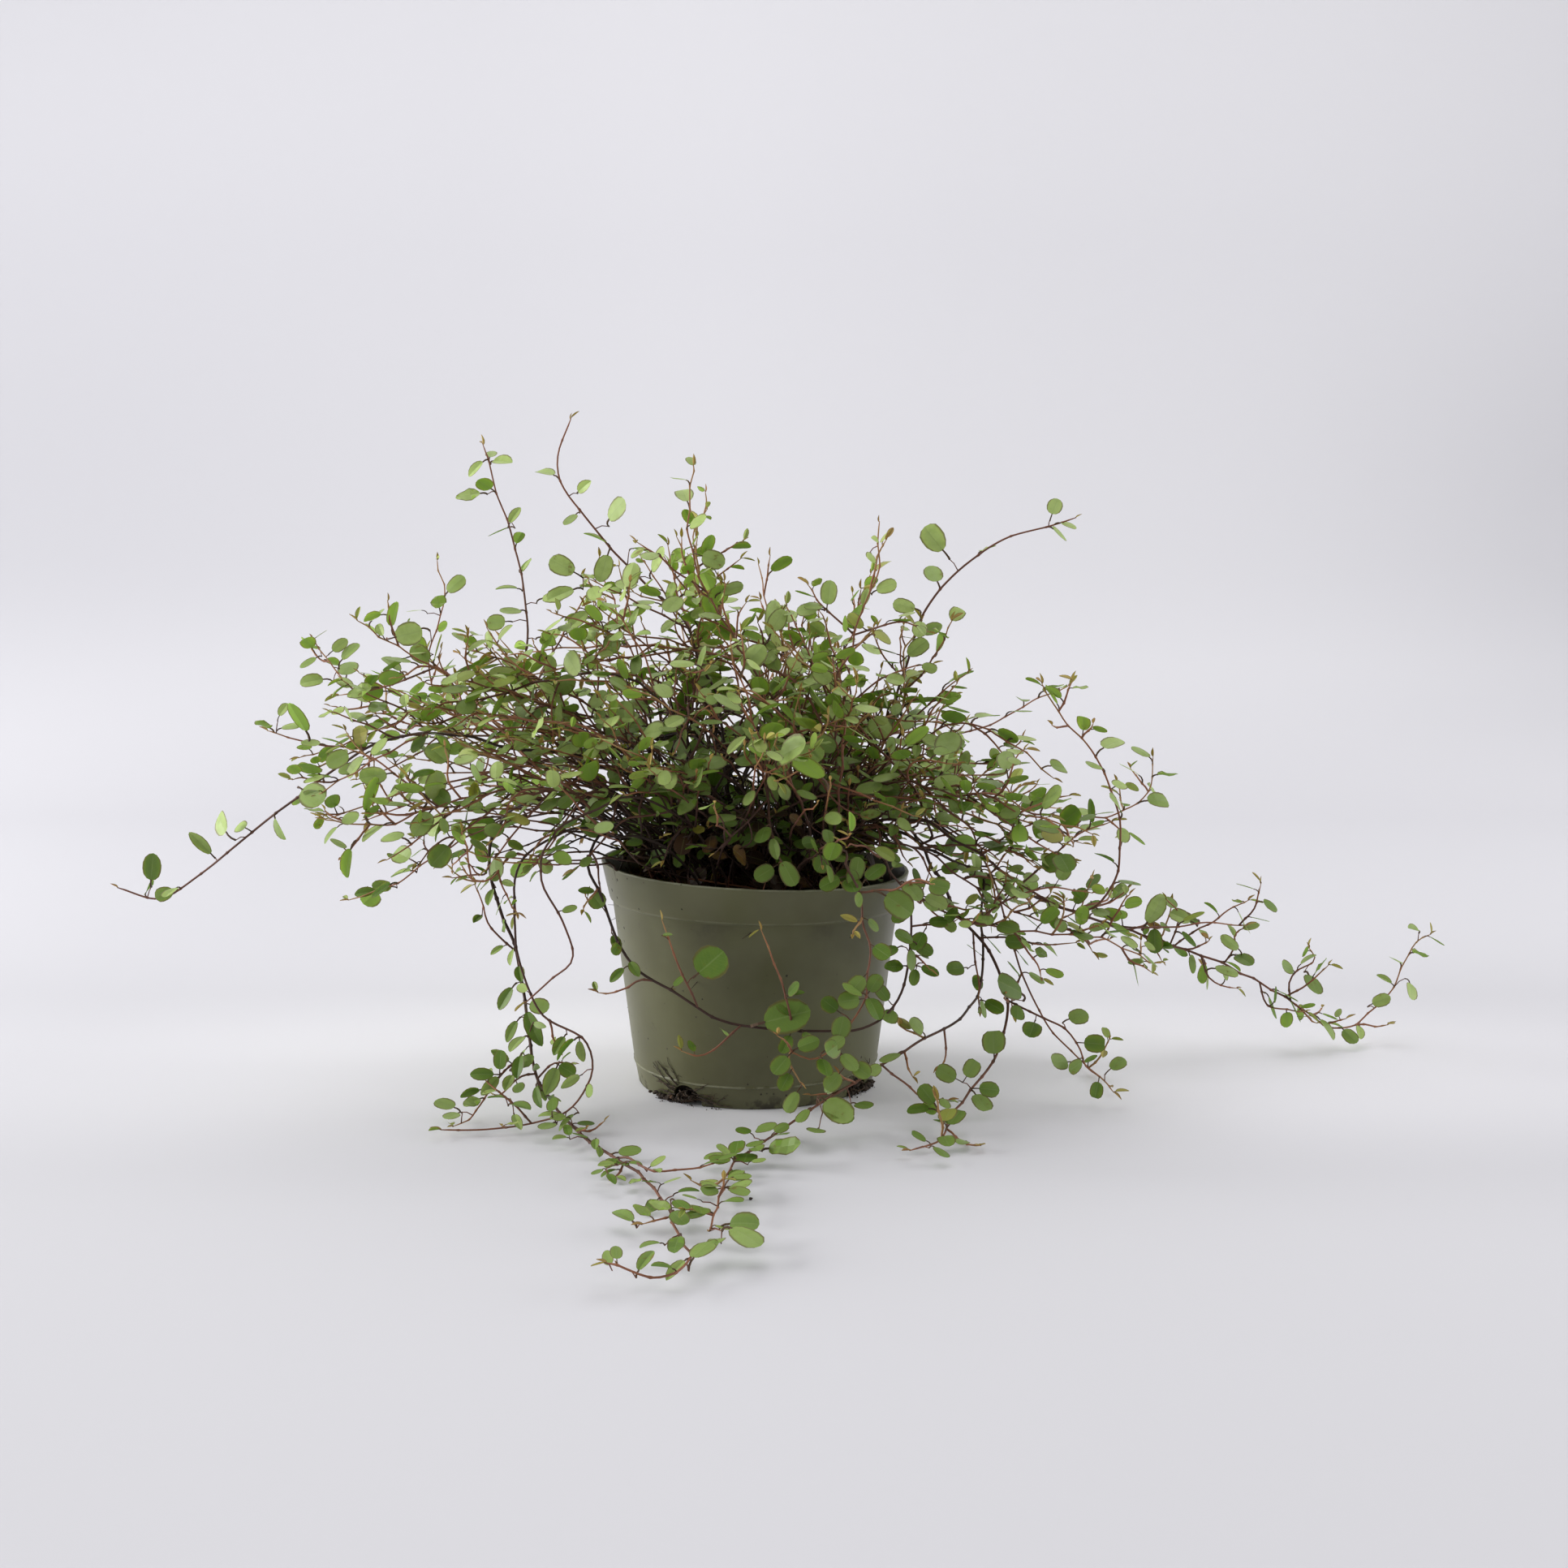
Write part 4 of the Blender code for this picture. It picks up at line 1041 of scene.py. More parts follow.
def kept_clear(place, margin):
    """The point moved out of the table, the pot's wall and the peat."""
    place = place.copy()
    place.z = max(place.z, margin + 0.2 * MM)
    if not hits(place, margin):
        return place
    radius = hypot(place.x, place.y)
    outer = pot_outside(place.z) + margin
    inner = outer - WALL - 2 * margin
    if radius > (inner + outer) / 2:
        place.xy = place.xy * ((outer + 0.1 * MM) / radius)
    elif radius > inner:
        place.xy = place.xy * ((inner - 0.1 * MM) / radius)
    else:
        place.z = peat_top(place.x, place.y) + margin
    return place


def crown_reach(x):
    """The crown's half-sizes, which are smaller to the right."""
    return CROWN_REACH_LEFT.lerp(CROWN_REACH_RIGHT, held(x / (60 * MM) + 0.5))


def crown_depth(place):
    """0 in the middle of the crown, 1 at its surface, more outside it."""
    away = place - CROWN_MIDDLE
    return sum(abs(part / reach) ** 1.5 for part, reach in zip(
        away, crown_reach(away.x))) ** (1 / 1.5)


def crown_surface(around, rise):
    """The place on the crown's surface in a direction from its middle."""
    aim = Vector((cos(around) * cos(rise), sin(around) * cos(rise), sin(rise)))
    away = aim * crown_reach(aim.x * 60 * MM)
    return CROWN_MIDDLE + away / crown_depth(CROWN_MIDDLE + away)


def light_on(place):
    """0 in the deep shade low in the middle of the crown, 1 at its surface and outside."""
    if place.z < RIM_LEVEL:
        return 1.0
    inside = held((crown_depth(place) - 0.42) / 0.46)
    low = held((120 * MM - place.z) / (24 * MM))
    central = held(1.5 - abs(place.x) / (50 * MM))
    return inside * (1 - 0.75 * low * central)


def near_table(place):
    """1 just over the table, where leaves lie flat, and 0 from 16 mm up."""
    return held(1.6 - place.z / (10 * MM))


def outward_from(place):
    """The level direction from the pot's axis to a place."""
    return Vector((place.x, place.y, 0)).normalized()


def turned_about(axis, angle):
    """A direction square to an axis, turned about it."""
    return Matrix.Rotation(angle, 3, axis) @ axis.orthogonal().normalized()


def bending(seed, along):
    """A vector that changes smoothly along a stem."""
    return noise.noise_vector(Vector((seed, along, 0)))


noise.seed_set(3)       # so that every stem bends the same way each time


class Shoot:
    """One shoot while it grows: its skeleton, its own chances and its habit."""

    taken = {}      # the places of all leaves so far, by cell

    def __init__(self, seed, habit):
        self.rng = random.Random(seed)
        self.habit = habit
        self.skeleton = Skeleton()

    def jointed(self, path, spacing, kink, bare=0.0):
        """Points along the path with a small kink and a swelling at each joint."""
        rng = self.rng
        joints = []
        distance = bare + spacing * rng.uniform(0.4, 1.0)
        while distance < path.length - 2 * JOINT_REACH:
            joints.append(distance)
            closer = 0.45 + 0.55 * min(1.0, (path.length - distance) / (18 * MM))
            distance += spacing * rng.uniform(0.72, 1.3) * closer
        turn = rng.uniform(0, tau)
        stops = [(0.0, Vector())]
        for number, joint in enumerate(joints):
            aside = turned_about(path.direction(joint), turn + number * pi
                                 + rng.uniform(-0.6, 0.6))
            stops.append((joint, aside * kink * rng.uniform(0.4, 1.0)))
        stops.append((path.length, Vector()))
        places, swell, at_joints = [path.at(0)], [1.0], []
        for number, ((start, shift), (end, next_shift)) in enumerate(zip(stops, stops[1:])):
            between = [start + JOINT_REACH] if number else []
            reach = end - start
            pieces = max(1, round(reach / LONGEST_PIECE))
            between += [start + reach * piece / pieces for piece in range(1, pieces)]
            if number < len(joints):
                between.append(end - JOINT_REACH)
            for distance in sorted(between) + [end]:
                share = (distance - start) / reach
                place = path.at(distance) + shift.lerp(next_shift, share)
                if distance > FOOT_DEPTH + 2 * MM or path.points[0].z > PEAT_CENTRE_TOP:
                    place = kept_clear(place, 0.5 * MM)
                places.append(place)
                swell.append(1.0)
            if number < len(joints):
                swell[-1] = JOINT_SWELL
                at_joints.append(len(places) - 1)
        return places, swell, at_joints

    def add_stem(self, places, swell, girths, ages):
        path = Path(places)
        shares = [distance / path.length for distance in path.distances]
        thick = [(girths[0] + (girths[1] - girths[0]) * share ** 2) * bulge
                 for share, bulge in zip(shares, swell)]
        thick[-1] *= 0.6
        # In the crown's shade the bark takes the dark colour of old bark: partly real age, partly
        # painted shade.
        self.skeleton.add_line(places, thick, [
            max(ages[0] + (ages[1] - ages[0]) * share ** 1.3, 0.9 - 0.9 * light_on(place))
            for share, place in zip(shares, places)])
        return path

    def leaf_facing(self, place, along):
        """Leaves look up, and outward where the shoot hangs or lies."""
        rng = self.rng
        low = held((104 * MM - place.z) / (30 * MM))
        steep = max(0.0, -along.z)
        flat = near_table(place)
        facing = (UP * (0.9 + 0.4 * flat - 0.4 * low * steep)
                  + outward_from(place) * (0.22 + 0.15 * low + 0.5 * steep * low)
                  * (1 - 0.7 * flat))
        chance = Vector([rng.gauss(0, 0.46) for _ in range(3)]) * (1 - 0.4 * flat)
        return (facing + chance + Vector(self.habit.look) * (1 - flat)).normalized()

    def set_leaf(self, place, reach, up, size, youth, shape, crowding):
        """Put a leaf on if its blade would be free of everything, and say whether it went on."""
        reach = reach - up * reach.dot(up)
        if reach.length < 0.2:
            return False
        reach.normalize()
        turn = Matrix((reach, up.cross(reach), up)).transposed()
        spots = [place + turn @ (spot * size) for spot in BLADE_SPOTS]
        if any(hits(spot, 0.45 * MM) for spot in spots):
            return False
        middle = spots[0]
        x, y, z = (int(part // LEAF_CELL) for part in middle)
        near = [other for dx in (-1, 0, 1) for dy in (-1, 0, 1) for dz in (-1, 0, 1)
                for other in self.taken.get((x + dx, y + dy, z + dz), ())]
        if any((middle - other).length < crowding * size for other in near):
            return False
        self.taken.setdefault((x, y, z), []).append(middle)
        # Besides chance, the tint is painted shade deep in the crown and painted light high in it.
        tint = self.rng.uniform(*self.habit.tint) * (0.3 + 0.7 * light_on(place))
        tint += 0.5 * held((place.z - 100 * MM) / (80 * MM))
        self.skeleton.add_point(place, turn.to_euler(), SHAPE_NUMBERS[shape],
                                self.rng.uniform(0.88, 1.12), size=size, tint=tint, youth=youth)
        return True

    def add_leaf(self, place, along, roll, size, youth=0.0, shape=None, crowding=None):
        """A leaf in a free place at a joint, after a few tries."""
        shape = shape or (self.rng.choice(self.habit.shapes) if youth < 0.6 else "young")
        crowding = self.habit.crowding if crowding is None else crowding
        for attempt in range(6):
            reach = (turned_about(along, roll + attempt * 1.9) + along * 0.55).normalized()
            if self.set_leaf(place, reach, self.leaf_facing(place, along), size, youth, shape,
                             crowding):
                return

    def stem_places(self):
        return (spot for spot, shape in zip(
            self.skeleton.places, self.skeleton.values["shape"]) if shape < 0)

    def add_set_leaf(self, centre, size, shape=None):
        """A leaf with its blade about a chosen place, on a stalk from the nearest stem."""
        rng = self.rng
        shape = shape or rng.choice(self.habit.shapes)
        hanging = 0.8 if shape in ("folded", "long") and centre.z < RIM_LEVEL else 0.0
        root = min(self.stem_places(), key=lambda spot: abs((spot - centre).length - 0.85 * size)
                   + hanging * max(0.0, centre.z + 0.5 * size - spot.z))
        flat = near_table(centre)
        hanging_wide = size > 13 * MM and 20 * MM < centre.z < RIM_LEVEL
        forward, raised = (0.9, 0.15) if hanging_wide else (0.7, 0.5)
        for _ in range(8):
            up = (Vector((0, -forward + 0.5 * flat, raised + 0.4 * flat))
                  + Vector([rng.gauss(0, 0.25 - 0.1 * flat) for _ in range(3)])
                  + outward_from(centre) * 0.2 * (1 - flat)).normalized()
            reach = centre - root
            reach = (reach - up * reach.dot(up)).normalized()
            base = centre - (reach * 0.8 + up * 0.2) * size
            if (base - root).length < 1.2 * MM:
                base = root
            elif (base - root).length > 6 * MM:
                base = root + (base - root).normalized() * 6 * MM
            if self.set_leaf(base, reach, up, size, 0.0, shape, 0.3):
                if base != root:
                    middle = root.lerp(base, 0.5) + UP * (base - root).length * 0.12
                    self.skeleton.add_line([root, middle, base], [0.24 * MM, 0.2 * MM, 0.18 * MM],
                                           [0.6, 0.5, 0.4])
                return

    def add_bud(self, place, along, size):
        turn = along.to_track_quat("X", "Z").to_euler()
        self.skeleton.add_point(place - along * 0.5 * MM, turn, SHAPE_NUMBERS["bud"], size=size,
                                tint=self.rng.random(), youth=self.rng.uniform(0.75, 1.0))

    def leafed(self, path, at_joints, size, fresh=0.0, thin_from=1.0):
        """A leaf at every joint, a little smaller towards the tip, and a bud at the end."""
        rng = self.rng
        roll = rng.uniform(0, tau)
        for number, index in enumerate(at_joints):
            place = path.points[index]
            along = path.direction(path.distances[index])
            youth = max(0.0, 1 - (path.length - path.distances[index]) / (12 * MM))
            thinned = path.distances[index] > path.length * thin_from
            likely = (0.65 if thinned else self.habit.leafiness) * (0.3 + 0.7 * light_on(place))
            if rng.random() > likely:
                continue
            grown_size = rng.uniform(*size) * (1 - 0.35 * youth)
            if rng.random() < 0.06:
                grown_size *= 1.3
            # The fresh colours fade out where light_on is low: painted shade inside the crown.
            season = max(fresh, youth * 0.6) * rng.uniform(0.4, 1.0) * light_on(place)
            if season < 0.1:
                season = rng.uniform(-0.45, -0.15) if rng.random() < self.habit.fading else 0.0
            self.add_leaf(place, along, roll + number * pi + rng.uniform(-0.7, 0.7),
                          grown_size * MM, season)
            if rng.random() < 0.12:
                self.add_bud(place, (turned_about(along, roll + number * pi)
                                     + along * 1.3).normalized(), rng.uniform(1.6, 2.6) * MM)
        tip, along = path.points[-1], path.direction(path.length)
        if rng.random() < 0.6:
            self.add_leaf(tip, along, roll, rng.uniform(4.0, 6.0) * MM, rng.uniform(0.3, 0.9),
                          shape="young", crowding=0.0)
        self.add_bud(tip, along, rng.uniform(2.6, 4.4) * MM)

    def add_twig(self, points):
        """A bare side shoot along a chosen route, from the nearest place on the stem."""
        joint = min(self.stem_places(), key=lambda spot: (spot - points[0]).length)
        route = smooth_route([joint] + points[1:])
        places, swell, at_joints = self.jointed(Path(route), SIDE_SPACING, 0.4 * MM)
        return self.add_stem(places, swell, (TWIG_GIRTH, SIDE_TIP), (0.6, 0.0)), at_joints

    def side_route(self, start, heading, length, lift):
        """A route that wanders from a joint, turning slowly up or down."""
        seed = self.rng.uniform(0, 100)
        places = [start.copy()]
        for step in range(max(2, round(length / STEP))):
            heading = (heading + UP * lift + bending(seed, step * 0.40) * 0.52).normalized()
            after = kept_clear(places[-1] + heading * STEP, 0.6 * MM)
            if after.z < 1.5 * MM:
                heading.z = max(0.0, heading.z)
            places.append(after)
        return places

    def add_side_shoot(self, start, heading, length, lift, girth, age, size, forks=True):
        """A side shoot with its own leaves, and now and then a shorter one from it."""
        rng = self.rng
        route = Path(self.side_route(start, heading, length, lift))
        places, swell, at_joints = self.jointed(route, SIDE_SPACING, 0.5 * MM)
        fresh = rng.uniform(0.5, 1.0) if rng.random() < self.habit.fresh else 0.0
        path = self.add_stem(places, swell, (girth, SIDE_TIP), (age * (1 - fresh), -0.2 * fresh))
        self.leafed(path, at_joints, size, fresh)
        if forks and length > 26 * MM:
            for index in at_joints[1:-1]:
                if rng.random() < 0.30:
                    along = path.direction(path.distances[index])
                    aside = turned_about(along, rng.uniform(0, tau))
                    self.add_side_shoot(
                        places[index], along * 0.6 + aside * 0.7 + UP * 0.3,
                        rng.uniform(8, 18) * MM, lift, girth * 0.8, age * 0.7, size, False)

    def add_branch(self, path, index, target, girth, age):
        """A longer branch from a joint, up and out to a place at the crown's surface."""
        start = path.points[index]
        span = (target - start).length
        bend = start + path.direction(path.distances[index]) * span * 0.25 + UP * span * 0.22
        shares = [step / BRANCH_STEPS for step in range(BRANCH_STEPS + 1)]
        route = [start.lerp(bend, share).lerp(bend.lerp(target, share), share)
                 for share in shares]
        seed = self.rng.uniform(0, 100)
        route[1:] = [kept_clear(place + bending(seed, step * 0.5) * 4 * MM
                                * sin(pi * step / BRANCH_STEPS) ** 0.5, 0.7 * MM)
                     for step, place in enumerate(route[1:], 1)]
        places, swell, at_joints = self.jointed(Path(route), 9.5 * MM, 0.7 * MM)
        branch = self.add_stem(places, swell, (girth, STEM_TIP), (age, 0.0))
        size = self.habit.leaf
        self.leafed(branch, [at for at in at_joints if branch.distances[at] > span * 0.18], size)
        for at in at_joints:
            if branch.distances[at] > span * 0.3 and self.rng.random() < 0.42:
                along = branch.direction(branch.distances[at])
                aside = turned_about(along, self.rng.uniform(0, tau))
                self.add_side_shoot(branch.points[at], along * 0.6 + aside * 0.75 + UP * 0.2,
                                    self.rng.uniform(9, 26) * MM, self.rng.uniform(0.0, 0.07),
                                    girth * 0.75, age * 0.6, size, False)

    def add_sprays(self, path, at_joints):
        """Side shoots from the joints, more of them and longer ones inside the crown."""
        rng, habit = self.rng, self.habit
        turn = rng.uniform(0, tau)
        for at in at_joints:
            place = path.points[at]
            in_crown = 0.25 < crown_depth(place) < 0.95 and place.z > RIM_LEVEL
            likely = habit.crown_sprays if in_crown else habit.sprays
            if path.distances[at] > path.length * habit.thin_from:
                likely *= 0.2
            if rng.random() > likely:
                continue
            turn += 2.4
            along = path.direction(path.distances[at])
            heading = (along * 0.55 + turned_about(along, turn) * 0.75
                       + outward_from(place) * 0.2 + UP * 0.2)
            left = path.length - path.distances[at]
            length = min(rng.uniform(*(habit.crown_spray if in_crown else habit.spray)) * MM,
                         0.25 * left + 14 * MM)
            age = habit.oldest * (rng.uniform(0.1, 0.4) + 0.35 * left / path.length)
            self.add_side_shoot(place, heading, length, rng.uniform(*habit.lift), SPRAY_GIRTH,
                                age, habit.leaf)

    def add_branches(self, path, at_joints, number):
        """Branches from low on the stem to the crown's surface, spread around when several."""
        rng, branches = self.rng, self.habit.branches
        end = path.points[-1]
        from_joints = [at for at in at_joints if 22 * MM < path.distances[at] < 75 * MM]
        for branch in range(branches):
            azimuth = atan2(end.y - CROWN_MIDDLE.y, end.x - CROWN_MIDDLE.x)
            if branches > 1:
                azimuth += (number * 2.4 + branch * tau / branches)
            azimuth += rng.uniform(-0.6, 0.6)
            surface = crown_surface(azimuth, rng.uniform(0.02, 1.35))
            target = CROWN_MIDDLE.lerp(surface, rng.uniform(0.74, 1.04))
            if from_joints:
                self.add_branch(path, rng.choice(from_joints), target, BRANCH_GIRTH,
                                rng.uniform(0.3, 0.9))

    def add_skirt(self, path, at_joints):
        """Low branches over the rim, except in front, where the pot shows."""
        rng = self.rng
        over_rim = path.at(min(path.length, 75 * MM))
        from_joints = [at for at in at_joints if 14 * MM < path.distances[at] < 45 * MM]
        for _ in range(self.habit.skirt):
            azimuth = atan2(over_rim.y, over_rim.x) + rng.uniform(-0.8, 0.8)
            reach = rng.uniform(50, 104) * MM
            if sin(azimuth) < -0.5:
                continue
            target = Vector((reach * cos(azimuth), reach * sin(azimuth),
                             rng.uniform(88, 122) * MM))
            if from_joints:
                self.add_branch(path, rng.choice(from_joints), target, SKIRT_GIRTH,
                                rng.uniform(0.4, 0.9))


class Habit:
    """How a shoot grows. Lengths are in millimetres, shares are from 0 to 1."""

    spacing = 10.0          # between the joints of the main stem
    kink = 0.8
    tip = 0.26              # the stem's radius there
    oldest = 1.0            # the bark's age at the foot
    youngest = 0.0          # and at the tip
    leaf = (7.2, 11.2)
    leafiness = 0.84        # the share of joints with a leaf
    crowding = 0.42         # the room a leaf needs, in leaf lengths
    look = (0, 0, 0)        # where its leaves turn to
    # the range of leaf tints, dark to pale; hanging shoots take darker ranges, as painted shade
    tint = (0.1, 0.9)
    fading = 0.05           # the share of leaves that turn yellow
    fresh = 0.17            # the share of side shoots that are young
    sprays = 0.35           # the share of joints with a side shoot
    spray = (10, 26)
    crown_sprays = 0.48     # the same inside the crown
    crown_spray = (14, 44)
    thin_from = 1.0         # where along the stem leaves and side shoots get fewer
    lift = (0.0, 0.07)      # how strongly side shoots turn up
    branches = 1            # to the crown's surface
    skirt = 0               # branches over the rim
    shapes = ("round", "cupped", "oval", "broad", "hollow", "domed", "wavy", "oval", "broad",
              "folded")

    def __init__(self, **chosen):
        self.__dict__.update(chosen)


def plant(name, girth, foot, route, twigs=(), leaves=(), **habit):
    """Grow one shoot from its foot in the peat along its route, and show it as one piece.

    Chosen twigs are routes from the stem; chosen leaves are (x, y, z, length[, shape]).
    """
    number = len(planted)
    shoot = Shoot(number * 17 + 5, Habit(**habit))
    habit = shoot.habit
    x, y = foot[0] * MM, foot[1] * MM
    top = peat_top(x, y)
    start = [Vector((x, y, top - FOOT_DEPTH)), Vector((x, y, top + 3 * MM))]
    line = smooth_route(start + [Vector(point) * MM for point in route])
    for step, place in enumerate(line[SWAY_START:SWAY_START + SWAY_STEPS]):
        sway = sin(pi * step / SWAY_STEPS) * 3.6 * MM
        place += bending(number, step * 0.21) * sway
    places, swell, at_joints = shoot.jointed(Path(line), habit.spacing * MM, habit.kink * MM,
                                             FOOT_DEPTH + 8 * MM)
    path = shoot.add_stem(places, swell, (girth * MM, habit.tip * MM),
                          (habit.oldest, habit.youngest))
    leafy = [at for at in at_joints if path.distances[at] > FOOT_DEPTH + 14 * MM]
    twigs = [shoot.add_twig([Vector(point) * MM for point in twig]) for twig in twigs]
    for x, y, z, length, *shape in leaves:
        shoot.add_set_leaf(Vector((x, y, z)) * MM, length * MM, *shape)
    shoot.leafed(path, leafy, habit.leaf, thin_from=habit.thin_from)
    for twig, twig_joints in twigs:
        shoot.leafed(twig, twig_joints, habit.leaf)
    shoot.add_sprays(path, leafy[:-1])
    shoot.add_branches(path, at_joints, number)
    shoot.add_skirt(path, at_joints)
    piece = show_grown("leafy_" + name, shoot.skeleton)
    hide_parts(name)
    planted.append(piece)


def show_grown(name, skeleton):
    """Turn a skeleton into a finished, riding piece."""
    piece = show(name, skeleton.mesh(name))
    growth.run(piece, Shapes=leaf_shapes, Sides=7, Stem_finish=stem_bark,
               Shape_finish=leaf_green)
    drop_spent(piece.data)
    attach(piece, "root")
    return piece


leaf_green = leaf_finish()
stem_bark = stem_finish()
planted = []
OVAL = ("oval", "broad", "wavy", "hollow", "oval", "folded")
SLIM = ("folded", "wavy", "folded", "long", "oval")
ROUND = ("round", "cupped", "notched", "broad", "domed")


# ------------------------------
# Old growth. Shaded, half-dead twigs and dry brown leaves lie tangled over the peat, and a few
# spill onto the rim. They are what is left of earlier shoots, caught among the new ones.
OLD_TWIGS = 210
OLD_LEAVES_ON_A_TWIG = 5
TANGLE_REACH = 50 * MM


def old_growth():
    """Twigs that wander over the peat under a low dome, with mostly dead leaves."""
    # Its green leaves get only the darkest tints, painted shade low under the crown.
    tangle = Shoot(71, Habit(crowding=0.2, tint=(0.0, 0.35)))
    rng = tangle.rng
    for _ in range(OLD_TWIGS):
        around, out = rng.uniform(0, tau), TANGLE_REACH * rng.random() ** 0.6
        start = Vector((out * cos(around), out * sin(around) * 0.8 + 9 * MM, 0))
        out = hypot(start.x, start.y)
        top = (118 - 24 * (out / TANGLE_REACH) ** 2) * MM
        start.z = rng.uniform(peat_top(start.x, start.y) + 2 * MM, top)
        heading = Vector((rng.gauss(0, 1), rng.gauss(0, 1), rng.gauss(0.05, 0.25)))
        route = [start]
        seed = rng.uniform(0, 100)
        for step in range(rng.randint(8, 24)):
            heading = (heading.normalized() + 0.6 * bending(seed, step * 0.3)).normalized()
            after = kept_clear(route[-1] + heading * STEP, 0.5 * MM)
            if hypot(after.x, after.y) > 57 * MM:
                heading.xy = -after.xy.normalized()
            if after.z > top:
                heading.z = -0.5
            route.append(after)
        girth = rng.uniform(0.16, 0.38) * MM
        swell = [1.4 if step % 4 == 2 else 1.0 for step in range(len(route))]
        path = tangle.add_stem(route, swell, (girth, girth * 0.7),
                               (rng.uniform(0.25, 1.0), rng.uniform(0.1, 0.9)))
        for _ in range(OLD_LEAVES_ON_A_TWIG):
            at = rng.uniform(0.1, 1.0) * path.length
            place = path.at(at)
            if place.xy.length > TANGLE_REACH:
                continue
            dead = rng.random() < (0.85 if place.z < 92 * MM else 0.30)
            season = rng.uniform(-1.1, -0.7) if dead else 0.0
            tangle.add_leaf(place, path.direction(at), rng.uniform(0, 6),
                            rng.uniform(4.0, 9.0) * MM, season)
    show_grown("old_growth", tangle.skeleton)


old_growth()


# ------------------------------
# Young growth. Thin, red-brown young shoots fan out of the peat between the main ones, bare
# below and leafy towards the crown's surface. They grew from the same roots.
def young_growth(name, seed, wands, leaf, tint, bare, towards=None, rises=(0.15, 1.4),
                 ends=(0.85, 1.1)):
    """A fan of young shoots to the crown's surface, all around or towards some angles."""
    thicket = Shoot(seed, Habit(leaf=leaf, tint=tint, crowding=0.4))
    rng = thicket.rng
    steps = 12
    for number in range(wands):
        around, out = number * 2.4 + rng.uniform(-0.4, 0.4), 40 * MM * rng.random() ** 0.5
        foot = Vector((out * cos(around), out * sin(around) * 0.8 + 6 * MM, 0))
        foot.z = peat_top(foot.x, foot.y) - 1 * MM
        around += rng.gauss(0, 0.35)
        if towards:
            around = rng.uniform(*towards)
        target = CROWN_MIDDLE.lerp(crown_surface(around, rng.uniform(*rises)), rng.uniform(*ends))
        span = (target - foot).length
        bend = foot.lerp(target, 0.4) + UP * span * rng.uniform(0.08, 0.22)
        seed = rng.uniform(0, 100)
        route = []
        for step in range(steps + 1):
            share = step / steps
            place = foot.lerp(bend, share).lerp(bend.lerp(target, share), share)
            place += bending(seed, step * 0.45) * (5 * MM * sin(pi * share) ** 0.5)
            route.append(kept_clear(place, 0.6 * MM) if step > 1 else place)
        places, swell, at_joints = thicket.jointed(Path(route), 9 * MM, 0.6 * MM)
        path = thicket.add_stem(places, swell, (rng.uniform(0.37, 0.50) * MM, STEM_TIP),
                                (rng.uniform(0.25, 0.7), -0.1))
        first = rng.uniform(*bare) * path.length
        thicket.leafed(path, [at for at in at_joints if path.distances[at] > first], leaf,
                       fresh=rng.choice((0.0, 0.0, 0.0, 0.5)))
    show_grown(name, thicket.skeleton)


young_growth("young_growth", 23, 46, (7.0, 10.5), (0.1, 0.9), (0.5, 0.75))
young_growth("front_young_growth", 31, 44, (7.6, 10.8), (0.35, 1.1), (0.4, 0.6), (-2.75, -1.15),
             (0.05, 0.8), (0.75, 1.05))


# ------------------------------
# Upright shoots. They stand up out of the crown, leafy below and sparse at the top, where the
# last leaves are still folding open.
plant("tall_shoot_left", 0.54, (-12, 6), [
    (-30, 8, 108), (-60, 15, 130), (-90, 25, 150), (-92, 32, 178), (-97, 38, 206), (-105, 42, 230),
    (-111, 45, 250)
], twigs=[
    [(-90, 25, 150), (-82, 20, 164), (-74, 16, 178), (-66, 14, 190)]
], leaves=[
    (-102, 36, 192, 9, "folded"), (-106, 33, 178, 8, "round"), (-82, 28, 173, 9),
    (-81, 30, 188, 10), (-102, 42, 243, 11, "folded"), (-117, 40, 229, 10, "wavy"),
    (-115, 44, 240, 9, "folded"), (-104, 38, 214, 9, "round"), (-97, 38, 222, 8, "folded"),
    (-91, 34, 201, 7)
], youngest=0.3, tip=0.3, spacing=13, leaf=(8, 11), sprays=0.05, branches=4, shapes=OVAL)
plant("tallest_shoot", 0.60, (-4, 0), [
    (-10, 0, 110), (-15, 5, 148), (-27, 8, 176), (-57, 12, 209), (-75, 15, 232), (-77, 16, 243),
    (-72, 18, 258)
], twigs=[
    [(-27, 8, 176), (-40, 4, 184), (-52, 2, 190), (-64, 0, 196)],
    [(-15, 5, 148), (-34, 4, 164), (-50, 4, 176), (-62, 6, 186)]
], leaves=[
    (-66, 12, 232, 9, "folded"), (-51, 12, 223, 11, "broad"), (-72, 14, 218, 8),
    (-59, 8, 199, 12, "oval"), (-77, 10, 201, 11, "broad"), (-37, 8, 203, 11, "round"),
    (-61, 0, 189, 11, "oval"), (-50, 4, 193, 10, "round"), (-75, 6, 189, 11, "hollow"),
    (-43, 4, 186, 9), (-43, 6, 209, 8, "folded"), (-68, 4, 180, 9)
], youngest=0.25, tip=0.3, spacing=15, leaf=(7, 10), sprays=0.08, branches=4, leafiness=0.7,
      shapes=OVAL)
